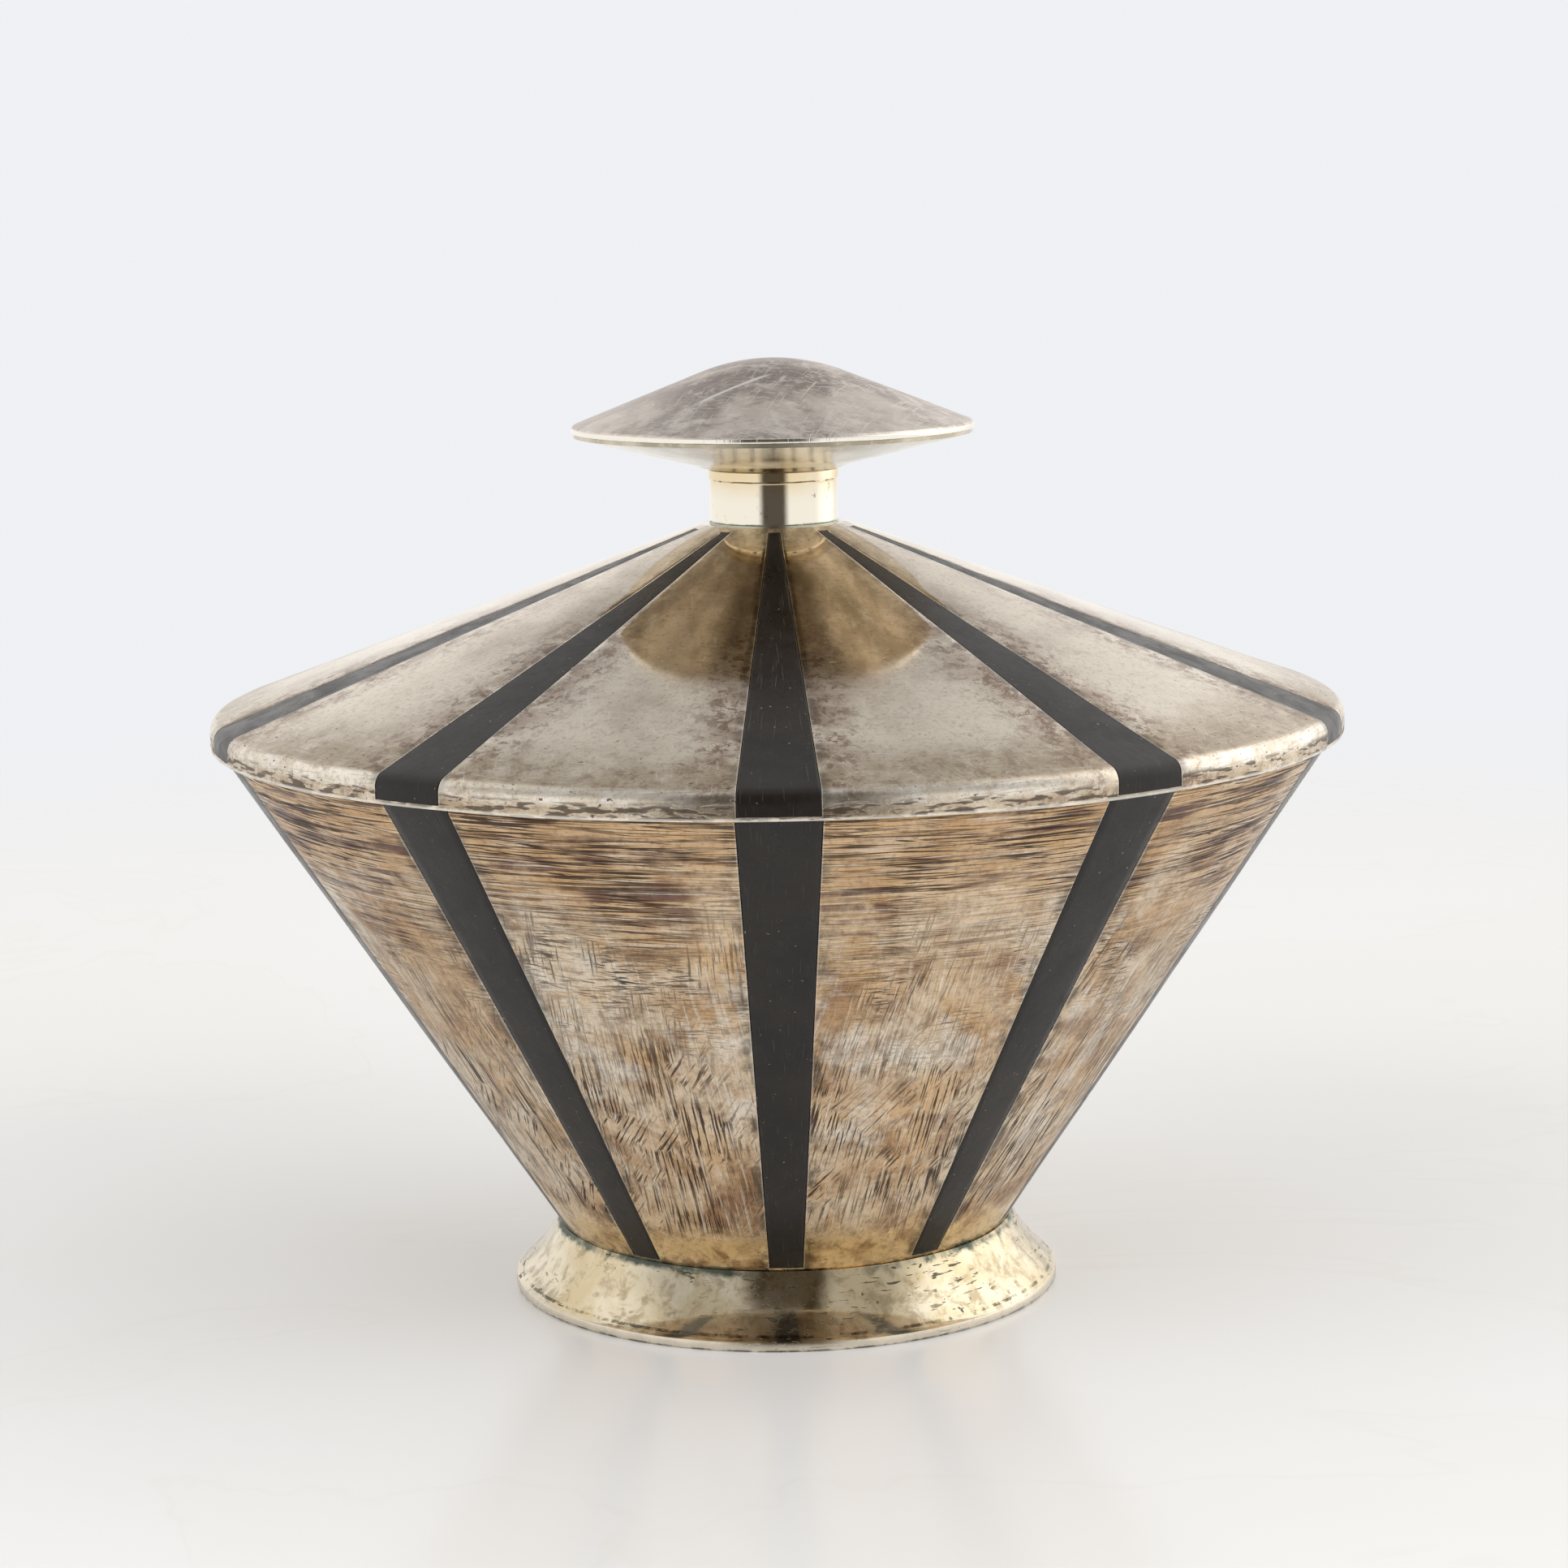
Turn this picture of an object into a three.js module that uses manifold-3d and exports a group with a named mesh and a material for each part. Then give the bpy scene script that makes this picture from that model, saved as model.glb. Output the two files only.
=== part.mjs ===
// Round silver sugar bowl with a lift-off lid, black enamel stripes and a disc knob on a stem.
// Millimetres, +Z up. The origin is the middle of the circle that the foot stands on.
// One stripe of the bowl and one of the lid face the front, which is -Y.
import * as THREE from 'three';
import { mergeVertices } from 'three/addons/utils/BufferGeometryUtils.js';
import Module from 'manifold-3d';

const wasm = await Module();
wasm.setup();

// Fit between pieces that touch on the real object.
const GAP = 0.3;

// Sheet metal.
const WALL = 1.4;
const KNOB_WALL = 1.0;
const STEM_WALL = 0.85;
const FOOT_WALL = 1.3;

// Foot ring.
const FOOT_RADIUS = 29.4;
const FOOT_EDGE_HEIGHT = 1.0;
const FOOT_TOP_RADIUS = 24.5;
const FOOT_FLARE_RADIUS = 26.5;
const FOOT_FLARE_HEIGHT = 3.4;

// Bowl: a straight cone standing on the foot.
const BOWL_BASE_Z = 7.1;
const BOWL_BASE_RADIUS = 24.4;
const BOWL_RIM_Z = 60.1;
const BOWL_RIM_RADIUS = 59.0;

// Lid: an upright edge band, a rounded shoulder and a straight cone up to a flat pad.
const LID_EDGE_Z = BOWL_RIM_Z + GAP;
const LID_RADIUS = 60.0;
const LID_BAND_HEIGHT = 1.4;
const SHOULDER_RADIUS = 1.6;
const PAD_RADIUS = 7.6;
const PAD_Z = 82.1;

// Locating ring under the lid.
const SKIRT_RADIUS = 54.4;
const SKIRT_DEPTH = 4.0;
const SKIRT_WALL = 1.2;
const FLANGE_THICKNESS = 1.0;

// Stripes.
const STRIPE_COUNT = 10;
const STRIPE_PITCH = 2 * Math.PI / STRIPE_COUNT;
const BOWL_STRIPE_HALF_ANGLE = THREE.MathUtils.degToRad(3.95);
const LID_STRIPE_HALF_ANGLE = THREE.MathUtils.degToRad(3.75);
const GROOVE_DEPTH = 0.7;
const ENAMEL_THICKNESS = GROOVE_DEPTH - GAP;
const BOWL_STRIPE_FOOT_MARGIN = 0.4;
const LID_STRIPE_EDGE_MARGIN = 0.3;
const LID_STRIPE_TIP_RADIUS = 8.6;

// Stem and knob.
const STEM_RADIUS = 6.75;
const KNOB_BASE_Z = 88.0;
const KNOB_NECK_RADIUS = 7.6;
const KNOB_NECK_HEIGHT = 0.3;
const KNOB_HEEL_RADIUS = 8.3;
const KNOB_RADIUS = 21.3;
const KNOB_SEAM_Z = 91.8;
const KNOB_LIP = 0.3;
const KNOB_BEVEL = 0.25;
const KNOB_TOP_Z = 99.4;
const KNOB_CROWN_RADIUS = 20.6;

// Stud, washer and nut that hold the knob to the lid.
const STUD_RADIUS = 1.25;
const STUD_HEAD_RADIUS = 3.5;
const STUD_HEAD_HEIGHT = 1.0;
const BOLT_HOLE_RADIUS = STUD_RADIUS + 0.35;
const WASHER_RADIUS = 4.0;
const WASHER_THICKNESS = 0.5;
const NUT_ACROSS_FLATS = 5.0;
const NUT_HEIGHT = 1.9;
const STUD_TAIL = 0.6;

// Facets round each piece. The large ones divide by the stripe count.
const LARGE_FACETS = 80;
const KNOB_FACETS = 60;
const SMALL_FACETS = 40;
const SHOULDER_STEPS = 3;
const CROWN_STEPS = 3;
const FLARE_STEPS = 3;

// Larger than the whole object, for cutting tools.
const REACH = 80;
const CLEARANCE = 1;

const rad = (degrees) => THREE.MathUtils.degToRad(degrees);

function metal(color, roughness) {
  return new THREE.MeshStandardMaterial({ color, roughness, metalness: 1 });
}

const bowlSilver = () => metal(0xa8937a, 0.45);
const lidSilver = () => metal(0xb3aca2, 0.38);
const footSilver = () => metal(0xc9b48a, 0.2);
const knobSilver = () => metal(0x9a8f85, 0.45);
const stemSilver = () => metal(0xd0c3a0, 0.15);
const brass = () => metal(0xb8954e, 0.35);
const enamel = () => new THREE.MeshStandardMaterial({ color: 0x2b2a29, roughness: 0.35, metalness: 0 });

// A turned piece. The outline is a list of [radius, height], anticlockwise with the axis on its
// left. It starts and ends on the axis, or it is a loop that this function closes.
function turned(outline, facets) {
  const points = outline.map(([radius, height]) => new THREE.Vector2(radius, height));
  if (outline[0][0] !== 0) {
    points.push(points[0].clone());
  }
  const geometry = new THREE.LatheGeometry(points, facets);
  geometry.rotateX(Math.PI / 2);
  return closedSkin(geometry);
}

// Shares the vertices of a closed skin and drops the triangles that have no area.
function closedSkin(geometry) {
  geometry.deleteAttribute('normal');
  geometry.deleteAttribute('uv');
  const merged = mergeVertices(geometry, 1e-4);
  const corners = merged.index.array;
  const kept = [];
  for (let i = 0; i < corners.length; i += 3) {
    const [a, b, c] = [corners[i], corners[i + 1], corners[i + 2]];
    if (a !== b && b !== c && c !== a) {
      kept.push(a, b, c);
    }
  }
  merged.setIndex(kept);
  return merged;
}

function toSolid(geometry) {
  return new wasm.Manifold(new wasm.Mesh({
    numProp: 3,
    vertProperties: geometry.getAttribute('position').array,
    triVerts: new Uint32Array(geometry.index.array),
  }));
}

function toGeometry(solid) {
  const mesh = solid.getMesh();
  const geometry = new THREE.BufferGeometry();
  geometry.setAttribute('position', new THREE.BufferAttribute(mesh.vertProperties, 3));
  geometry.setIndex(new THREE.BufferAttribute(mesh.triVerts, 1));
  return geometry;
}

// An upright wedge along one stripe: its two sides are radial planes moved in by the setback, so
// a wedge with a setback leaves an even strip on each side of one without.
function stripeWedge(index, halfAngle, innerRadius, setback) {
  const apex = setback / Math.sin(halfAngle);
  const halfWidthAt = (radius) => (radius - apex) * Math.tan(halfAngle);
  const inner = Math.max(innerRadius, apex + 0.01);
  const plan = new THREE.Shape();
  plan.moveTo(-halfWidthAt(inner), -inner);
  plan.lineTo(-halfWidthAt(REACH), -REACH);
  plan.lineTo(halfWidthAt(REACH), -REACH);
  plan.lineTo(halfWidthAt(inner), -inner);
  plan.closePath();
  const geometry = new THREE.ExtrudeGeometry(plan, { depth: 2 * REACH, bevelEnabled: false });
  geometry.translate(0, 0, -CLEARANCE);
  geometry.rotateZ(index * STRIPE_PITCH);
  return toSolid(closedSkin(geometry));
}

// ---- Bowl ----

const BOWL_SLOPE = (BOWL_RIM_RADIUS - BOWL_BASE_RADIUS) / (BOWL_RIM_Z - BOWL_BASE_Z);
const BOWL_STRETCH = Math.hypot(1, BOWL_SLOPE);
const BOWL_FLOOR_Z = BOWL_BASE_Z + WALL;

// Radius of the bowl's cone at a height, at a depth under its outer face.
function bowlRadius(height, depth) {
  return BOWL_BASE_RADIUS + BOWL_SLOPE * (height - BOWL_BASE_Z) - depth * BOWL_STRETCH;
}

// A conical layer of the bowl's wall between two depths and two heights.
function bowlLayer(low, high, outerDepth, innerDepth) {
  const outline = [
    [bowlRadius(low, innerDepth), low],
    [bowlRadius(low, outerDepth), low],
    [bowlRadius(high, outerDepth), high],
    [bowlRadius(high, innerDepth), high],
  ];
  return toSolid(turned(outline, LARGE_FACETS));
}

function bowlShell() {
  const outline = [
    [0, BOWL_BASE_Z],
    [BOWL_BASE_RADIUS, BOWL_BASE_Z],
    [BOWL_RIM_RADIUS, BOWL_RIM_Z],
    [bowlRadius(BOWL_RIM_Z, WALL), BOWL_RIM_Z],
    [bowlRadius(BOWL_FLOOR_Z, WALL), BOWL_FLOOR_Z],
    [0, BOWL_FLOOR_Z],
  ];
  const low = BOWL_BASE_Z + BOWL_STRIPE_FOOT_MARGIN;
  const layer = bowlLayer(low, BOWL_RIM_Z + CLEARANCE, -CLEARANCE, GROOVE_DEPTH);
  let shell = toSolid(turned(outline, LARGE_FACETS));
  for (let i = 0; i < STRIPE_COUNT; i += 1) {
    shell = shell.subtract(layer.intersect(stripeWedge(i, BOWL_STRIPE_HALF_ANGLE, 1, 0)));
  }
  return toGeometry(shell);
}

function bowlStripe(index) {
  const low = BOWL_BASE_Z + BOWL_STRIPE_FOOT_MARGIN + GAP;
  const layer = bowlLayer(low, BOWL_RIM_Z, 0, ENAMEL_THICKNESS);
  return toGeometry(layer.intersect(stripeWedge(index, BOWL_STRIPE_HALF_ANGLE, 1, GAP)));
}

function footRing() {
  const top = BOWL_BASE_Z - GAP;
  const flare = new THREE.QuadraticBezierCurve(
    new THREE.Vector2(FOOT_RADIUS, FOOT_EDGE_HEIGHT),
    new THREE.Vector2(FOOT_FLARE_RADIUS, FOOT_FLARE_HEIGHT),
    new THREE.Vector2(FOOT_TOP_RADIUS, top),
  ).getPoints(FLARE_STEPS);
  const outer = flare.map((point) => [point.x, point.y]);
  const inner = outer.map(([radius, height]) => [radius - FOOT_WALL, height]).reverse();
  const outline = [
    [FOOT_RADIUS - FOOT_WALL, 0],
    [FOOT_RADIUS, 0],
    ...outer,
    ...inner,
  ];
  return turned(outline, LARGE_FACETS);
}

// ---- Lid ----

const SHOULDER_CENTRE_RADIUS = LID_RADIUS - SHOULDER_RADIUS;
const SHOULDER_CENTRE_Z = LID_EDGE_Z + LID_BAND_HEIGHT;

// Pitch of the lid's cone: the line from the pad's edge that just touches the shoulder's arc.
function lidPitch() {
  const run = SHOULDER_CENTRE_RADIUS - PAD_RADIUS;
  const drop = PAD_Z - SHOULDER_CENTRE_Z;
  return Math.atan2(drop, run) - Math.asin(SHOULDER_RADIUS / Math.hypot(run, drop));
}

const LID_PITCH = lidPitch();

// Height of the lid's outer cone at a radius.
const lidConeHeight = (radius) => PAD_Z - (radius - PAD_RADIUS) * Math.tan(LID_PITCH);

// The lid's outside at a depth under it, from its edge up over the shoulder to a radius on the cone.
function lidSurface(depth, edgeHeight, tipRadius) {
  const points = [[LID_RADIUS - depth, edgeHeight]];
  const turn = Math.PI / 2 - LID_PITCH;
  const arcRadius = SHOULDER_RADIUS - depth;
  for (let i = 0; i <= SHOULDER_STEPS; i += 1) {
    const angle = turn * i / SHOULDER_STEPS;
    points.push([
      SHOULDER_CENTRE_RADIUS + arcRadius * Math.cos(angle),
      SHOULDER_CENTRE_Z + arcRadius * Math.sin(angle),
    ]);
  }
  points.push([
    tipRadius - depth * Math.sin(LID_PITCH),
    lidConeHeight(tipRadius) - depth * Math.cos(LID_PITCH),
  ]);
  return points;
}

// A layer of the lid's wall that follows cone, shoulder and band, between two depths.
function lidLayer(edgeHeight, tipRadius, outerDepth, innerDepth) {
  const outline = [
    ...lidSurface(outerDepth, edgeHeight, tipRadius),
    ...lidSurface(innerDepth, edgeHeight, tipRadius).reverse(),
  ];
  return toSolid(turned(outline, LARGE_FACETS));
}

function lidShell() {
  const outline = [
    ...lidSurface(0, LID_EDGE_Z, PAD_RADIUS),
    [BOLT_HOLE_RADIUS, PAD_Z],
    [BOLT_HOLE_RADIUS, PAD_Z - WALL],
    [PAD_RADIUS - WALL * Math.tan(LID_PITCH / 2), PAD_Z - WALL],
    ...lidSurface(WALL, LID_EDGE_Z, PAD_RADIUS).reverse().slice(1),
  ];
  const layer = lidLayer(LID_EDGE_Z + LID_STRIPE_EDGE_MARGIN, LID_STRIPE_TIP_RADIUS, -CLEARANCE, GROOVE_DEPTH);
  let shell = toSolid(turned(outline, LARGE_FACETS));
  for (let i = 0; i < STRIPE_COUNT; i += 1) {
    const wedge = stripeWedge(i, LID_STRIPE_HALF_ANGLE, LID_STRIPE_TIP_RADIUS, 0);
    shell = shell.subtract(layer.intersect(wedge));
  }
  return toGeometry(shell);
}

function lidStripe(index) {
  const edge = LID_EDGE_Z + LID_STRIPE_EDGE_MARGIN + GAP;
  const layer = lidLayer(edge, LID_STRIPE_TIP_RADIUS + GAP, 0, ENAMEL_THICKNESS);
  const wedge = stripeWedge(index, LID_STRIPE_HALF_ANGLE, LID_STRIPE_TIP_RADIUS + GAP, GAP);
  return toGeometry(layer.intersect(wedge));
}

// An angle-section ring: the flange rests on the bowl's rim and the skirt hangs inside it.
function lidFlange() {
  const inner = SKIRT_RADIUS - SKIRT_WALL;
  const outer = LID_RADIUS - WALL - GAP;
  const outline = [
    [inner, LID_EDGE_Z - SKIRT_DEPTH],
    [SKIRT_RADIUS, LID_EDGE_Z - SKIRT_DEPTH],
    [SKIRT_RADIUS, LID_EDGE_Z],
    [outer, LID_EDGE_Z],
    [outer, LID_EDGE_Z + FLANGE_THICKNESS],
    [inner, LID_EDGE_Z + FLANGE_THICKNESS],
  ];
  return turned(outline, LARGE_FACETS);
}

// ---- Stem and knob ----

function stemTube() {
  const outline = [
    [STEM_RADIUS - STEM_WALL, PAD_Z + GAP],
    [STEM_RADIUS, PAD_Z + GAP],
    [STEM_RADIUS, KNOB_BASE_Z - GAP],
    [STEM_RADIUS - STEM_WALL, KNOB_BASE_Z - GAP],
  ];
  return turned(outline, SMALL_FACETS);
}

function knobUnderside() {
  const outline = [
    [BOLT_HOLE_RADIUS, KNOB_BASE_Z],
    [KNOB_NECK_RADIUS, KNOB_BASE_Z],
    [KNOB_HEEL_RADIUS, KNOB_BASE_Z + KNOB_NECK_HEIGHT],
    [KNOB_RADIUS - KNOB_LIP / 2, KNOB_SEAM_Z - KNOB_LIP],
    [KNOB_RADIUS - KNOB_LIP / 2, KNOB_SEAM_Z],
    [KNOB_RADIUS - 2 * KNOB_WALL, KNOB_SEAM_Z],
    [KNOB_HEEL_RADIUS, KNOB_BASE_Z + KNOB_NECK_HEIGHT + KNOB_WALL],
    [KNOB_NECK_RADIUS, KNOB_BASE_Z + KNOB_WALL],
    [BOLT_HOLE_RADIUS, KNOB_BASE_Z + KNOB_WALL],
  ];
  return turned(outline, KNOB_FACETS);
}

// A shallow cone that just touches a ball-shaped crown, on a short upright lip with a bevel.
function knobTop() {
  const lipZ = KNOB_SEAM_Z + GAP;
  const bevelRadius = KNOB_RADIUS - KNOB_BEVEL;
  const bevelZ = lipZ + KNOB_LIP + KNOB_BEVEL;
  const centreZ = KNOB_TOP_Z - KNOB_CROWN_RADIUS;
  const rise = bevelZ - centreZ;
  const pitch = Math.asin(KNOB_CROWN_RADIUS / Math.hypot(bevelRadius, rise)) - Math.atan2(rise, bevelRadius);
  const crown = [];
  for (let i = 0; i <= CROWN_STEPS; i += 1) {
    const angle = pitch * (1 - i / CROWN_STEPS);
    crown.push([KNOB_CROWN_RADIUS * Math.sin(angle), centreZ + KNOB_CROWN_RADIUS * Math.cos(angle)]);
  }
  crown[CROWN_STEPS] = [0, KNOB_TOP_Z];
  const lining = crown.map(([radius, height]) => [radius, height - KNOB_WALL]).reverse();
  const innerRadius = bevelRadius - (KNOB_WALL - (bevelZ - lipZ)) / Math.tan(pitch);
  const outline = [
    ...lining,
    [innerRadius, lipZ],
    [KNOB_RADIUS, lipZ],
    [KNOB_RADIUS, lipZ + KNOB_LIP],
    [bevelRadius, bevelZ],
    ...crown,
  ];
  return turned(outline, KNOB_FACETS);
}

// ---- Fastening ----

const WASHER_TOP_Z = PAD_Z - WALL - GAP;
const NUT_TOP_Z = WASHER_TOP_Z - WASHER_THICKNESS - GAP;
const STUD_HEAD_Z = KNOB_BASE_Z + KNOB_WALL + GAP;

function knobStud() {
  const tail = NUT_TOP_Z - NUT_HEIGHT - STUD_TAIL;
  const outline = [
    [0, tail],
    [STUD_RADIUS, tail],
    [STUD_RADIUS, STUD_HEAD_Z],
    [STUD_HEAD_RADIUS, STUD_HEAD_Z],
    [STUD_HEAD_RADIUS, STUD_HEAD_Z + STUD_HEAD_HEIGHT],
    [0, STUD_HEAD_Z + STUD_HEAD_HEIGHT],
  ];
  return turned(outline, SMALL_FACETS / 2);
}

function knobWasher() {
  const outline = [
    [BOLT_HOLE_RADIUS, WASHER_TOP_Z - WASHER_THICKNESS],
    [WASHER_RADIUS, WASHER_TOP_Z - WASHER_THICKNESS],
    [WASHER_RADIUS, WASHER_TOP_Z],
    [BOLT_HOLE_RADIUS, WASHER_TOP_Z],
  ];
  return turned(outline, SMALL_FACETS / 2);
}

function knobNut() {
  const corner = NUT_ACROSS_FLATS / 2 / Math.cos(rad(30));
  const plan = new THREE.Shape();
  for (let i = 0; i < 6; i += 1) {
    const angle = rad(60 * i);
    const [x, y] = [corner * Math.cos(angle), corner * Math.sin(angle)];
    if (i === 0) {
      plan.moveTo(x, y);
    } else {
      plan.lineTo(x, y);
    }
  }
  plan.closePath();
  const hole = new THREE.Path();
  hole.absarc(0, 0, BOLT_HOLE_RADIUS, 0, 2 * Math.PI, true);
  plan.holes.push(hole);
  const options = { depth: NUT_HEIGHT, bevelEnabled: false, curveSegments: SMALL_FACETS / 2 };
  const geometry = new THREE.ExtrudeGeometry(plan, options);
  geometry.translate(0, 0, NUT_TOP_Z - NUT_HEIGHT);
  return closedSkin(geometry);
}

// ---- Assembly ----

const sugarBowl = new THREE.Group();

function addPart(name, geometry, material) {
  const mesh = new THREE.Mesh(geometry, material);
  mesh.name = name;
  sugarBowl.add(mesh);
}

addPart('foot_ring', footRing(), footSilver());
addPart('bowl_shell', bowlShell(), bowlSilver());
addPart('lid_shell', lidShell(), lidSilver());
addPart('lid_flange', lidFlange(), lidSilver());
addPart('stem_tube', stemTube(), stemSilver());
addPart('knob_underside', knobUnderside(), stemSilver());
addPart('knob_top', knobTop(), knobSilver());
addPart('knob_stud', knobStud(), brass());
addPart('knob_washer', knobWasher(), brass());
addPart('knob_nut', knobNut(), brass());
for (let i = 0; i < STRIPE_COUNT; i += 1) {
  const number = String(i + 1).padStart(2, '0');
  addPart(`bowl_stripe_${number}`, bowlStripe(i), enamel());
  addPart(`lid_stripe_${number}`, lidStripe(i), enamel());
}

export default sugarBowl;
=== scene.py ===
from math import asin, atan2, cos, hypot, pi, radians, sin, tan

import bmesh
import bpy
from mathutils import Matrix, Vector


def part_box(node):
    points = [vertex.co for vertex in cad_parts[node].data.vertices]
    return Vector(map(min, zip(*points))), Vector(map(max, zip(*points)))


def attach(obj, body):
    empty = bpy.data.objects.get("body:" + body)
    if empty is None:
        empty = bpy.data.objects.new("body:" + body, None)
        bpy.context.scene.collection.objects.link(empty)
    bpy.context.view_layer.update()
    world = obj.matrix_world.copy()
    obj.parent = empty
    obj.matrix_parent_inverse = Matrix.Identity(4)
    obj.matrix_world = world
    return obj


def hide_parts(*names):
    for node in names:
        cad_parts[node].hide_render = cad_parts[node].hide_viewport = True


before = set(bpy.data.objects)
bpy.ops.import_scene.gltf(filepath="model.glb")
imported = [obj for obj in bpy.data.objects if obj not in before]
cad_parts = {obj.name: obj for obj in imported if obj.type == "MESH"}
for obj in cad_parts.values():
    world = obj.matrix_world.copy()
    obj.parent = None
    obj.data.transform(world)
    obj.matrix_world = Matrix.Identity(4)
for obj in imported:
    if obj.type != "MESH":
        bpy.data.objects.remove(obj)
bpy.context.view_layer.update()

mm = 0.001

stripeCount = 10
stripePitch = 2 * pi / stripeCount
mergeDistance = 0.002 * mm
doubleDistance = 0.001 * mm
smoothBelow = radians(32)

# hand-made unevenness, shared by a body and the enamel let into it
bowlWobble = {"Wobble Out": 0.10 * mm, "Wobble Up": 0.0, "Wobble Size": 24 * mm, "Wobble Seed": 3.0}
lidWobble = {"Wobble Out": 0.0, "Wobble Up": 0.10 * mm, "Wobble Size": 24 * mm, "Wobble Seed": 8.0}
noWobble = {"Wobble Out": 0.0, "Wobble Up": 0.0, "Wobble Size": 20 * mm, "Wobble Seed": 0.0}


# node helpers, for materials and geometry alike

def addNode(tree, kind, values=None, **settings):
    node = tree.nodes.new(kind)
    for name, value in settings.items():
        setattr(node, name, value)
    for key, value in (values or {}).items():
        if isinstance(value, bpy.types.NodeSocket):
            tree.links.new(value, node.inputs[key])
        else:
            node.inputs[key].default_value = value
    return node


def calc(tree, operation, *values):
    return addNode(tree, "ShaderNodeMath", dict(enumerate(values)), operation=operation).outputs[0]


def product(tree, *values):
    total = values[0]
    for value in values[1:]:
        total = calc(tree, "MULTIPLY", total, value)
    return total


def most(tree, *values):
    total = values[0]
    for value in values[1:]:
        total = calc(tree, "MAXIMUM", total, value)
    return total


def timesPlus(tree, value, times, added):
    return calc(tree, "MULTIPLY_ADD", value, times, added)


def without(tree, share):
    return calc(tree, "SUBTRACT", 1.0, share)


def fromAxis(tree, x, y):
    return calc(tree, "SQRT", calc(tree, "ADD", product(tree, x, x), product(tree, y, y)))


def parts(tree, place):
    return addNode(tree, "ShaderNodeSeparateXYZ", {0: place}).outputs


def vector(tree, x, y, z):
    return addNode(tree, "ShaderNodeCombineXYZ", {0: x, 1: y, 2: z}).outputs[0]


def ease(tree, value, low, high, start=0.0, end=1.0):
    values = {"Value": value, "From Min": low, "From Max": high, "To Min": start, "To Max": end}
    return addNode(tree, "ShaderNodeMapRange", values, interpolation_type="SMOOTHSTEP").outputs[0]


def blend(tree, share, first, second):
    return addNode(tree, "ShaderNodeMix", {0: share, 6: first, 7: second}, data_type="RGBA").outputs[2]


def tint(tree, color, paint, where, strength):
    return blend(tree, product(tree, where, strength), color, paint)


def cloud(tree, place, size, seed, detail=4.0, roughness=0.55, warp=0.0):
    values = {"Vector": place, "W": seed, "Scale": 1 / size, "Detail": detail}
    values.update({"Roughness": roughness, "Distortion": warp})
    return addNode(tree, "ShaderNodeTexNoise", values, noise_dimensions="4D").outputs[0]


# outlines: lists of (radius, height, sinkRadius, sinkHeight); sink is the way in to a groove's bottom

def arc(centreRadius, centreHeight, radius, start, end, steps):
    points = []
    for i in range(steps + 1):
        angle = start + (end - start) * i / steps
        points.append((centreRadius + radius * cos(angle), centreHeight + radius * sin(angle), 0, 0))
    return points


def run(first, last, steps, sink=(0, 0)):
    points = []
    for i in range(steps + 1):
        share = i / steps
        radius = first[0] + (last[0] - first[0]) * share
        height = first[1] + (last[1] - first[1]) * share
        points.append((radius, height, sink[0], sink[1]))
    return points


def corner(before, at, after, radius, steps):
    # rounds the corner of an outline with an arc that touches both sides
    toBefore = (Vector(before) - Vector(at)).normalized()
    toAfter = (Vector(after) - Vector(at)).normalized()
    half = toBefore.angle(toAfter) / 2
    middle = Vector(at) + (toBefore + toAfter).normalized() * radius / sin(half)
    first = Vector(at) + toBefore * radius / tan(half) - middle
    last = Vector(at) + toAfter * radius / tan(half) - middle
    start = atan2(first.y, first.x)
    turn = (atan2(last.y, last.x) - start + pi) % (2 * pi) - pi
    return arc(middle.x, middle.y, radius, start, start + turn, steps)


def outlineObject(name, points):
    mesh = bpy.data.meshes.new(name)
    mesh.from_pydata([(p[0], 0, p[1]) for p in points], [(i, i + 1) for i in range(len(points) - 1)], [])
    sink = mesh.attributes.new("sink", "FLOAT_VECTOR", "POINT")
    for i, p in enumerate(points):
        sink.data[i].vector = (p[2], 0, p[3])
    outline = bpy.data.objects.new(name, mesh)
    bpy.context.scene.collection.objects.link(outline)
    return outline


def planObject(name, points):
    # points round one repeat: (angle, extra distance along the arc, share of the groove's depth)
    mesh = bpy.data.meshes.new(name)
    mesh.from_pydata(points, [(i, i + 1) for i in range(len(points) - 1)], [])
    plan = bpy.data.objects.new(name, mesh)
    bpy.context.scene.collection.objects.link(plan)
    plan.hide_render = True
    return plan


# Geometry Nodes: an outline swept round the axis, one column of faces for each point of the plan

def addInput(tree, name, kind):
    tree.interface.new_socket(name=name, in_out="INPUT", socket_type=kind)


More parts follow.
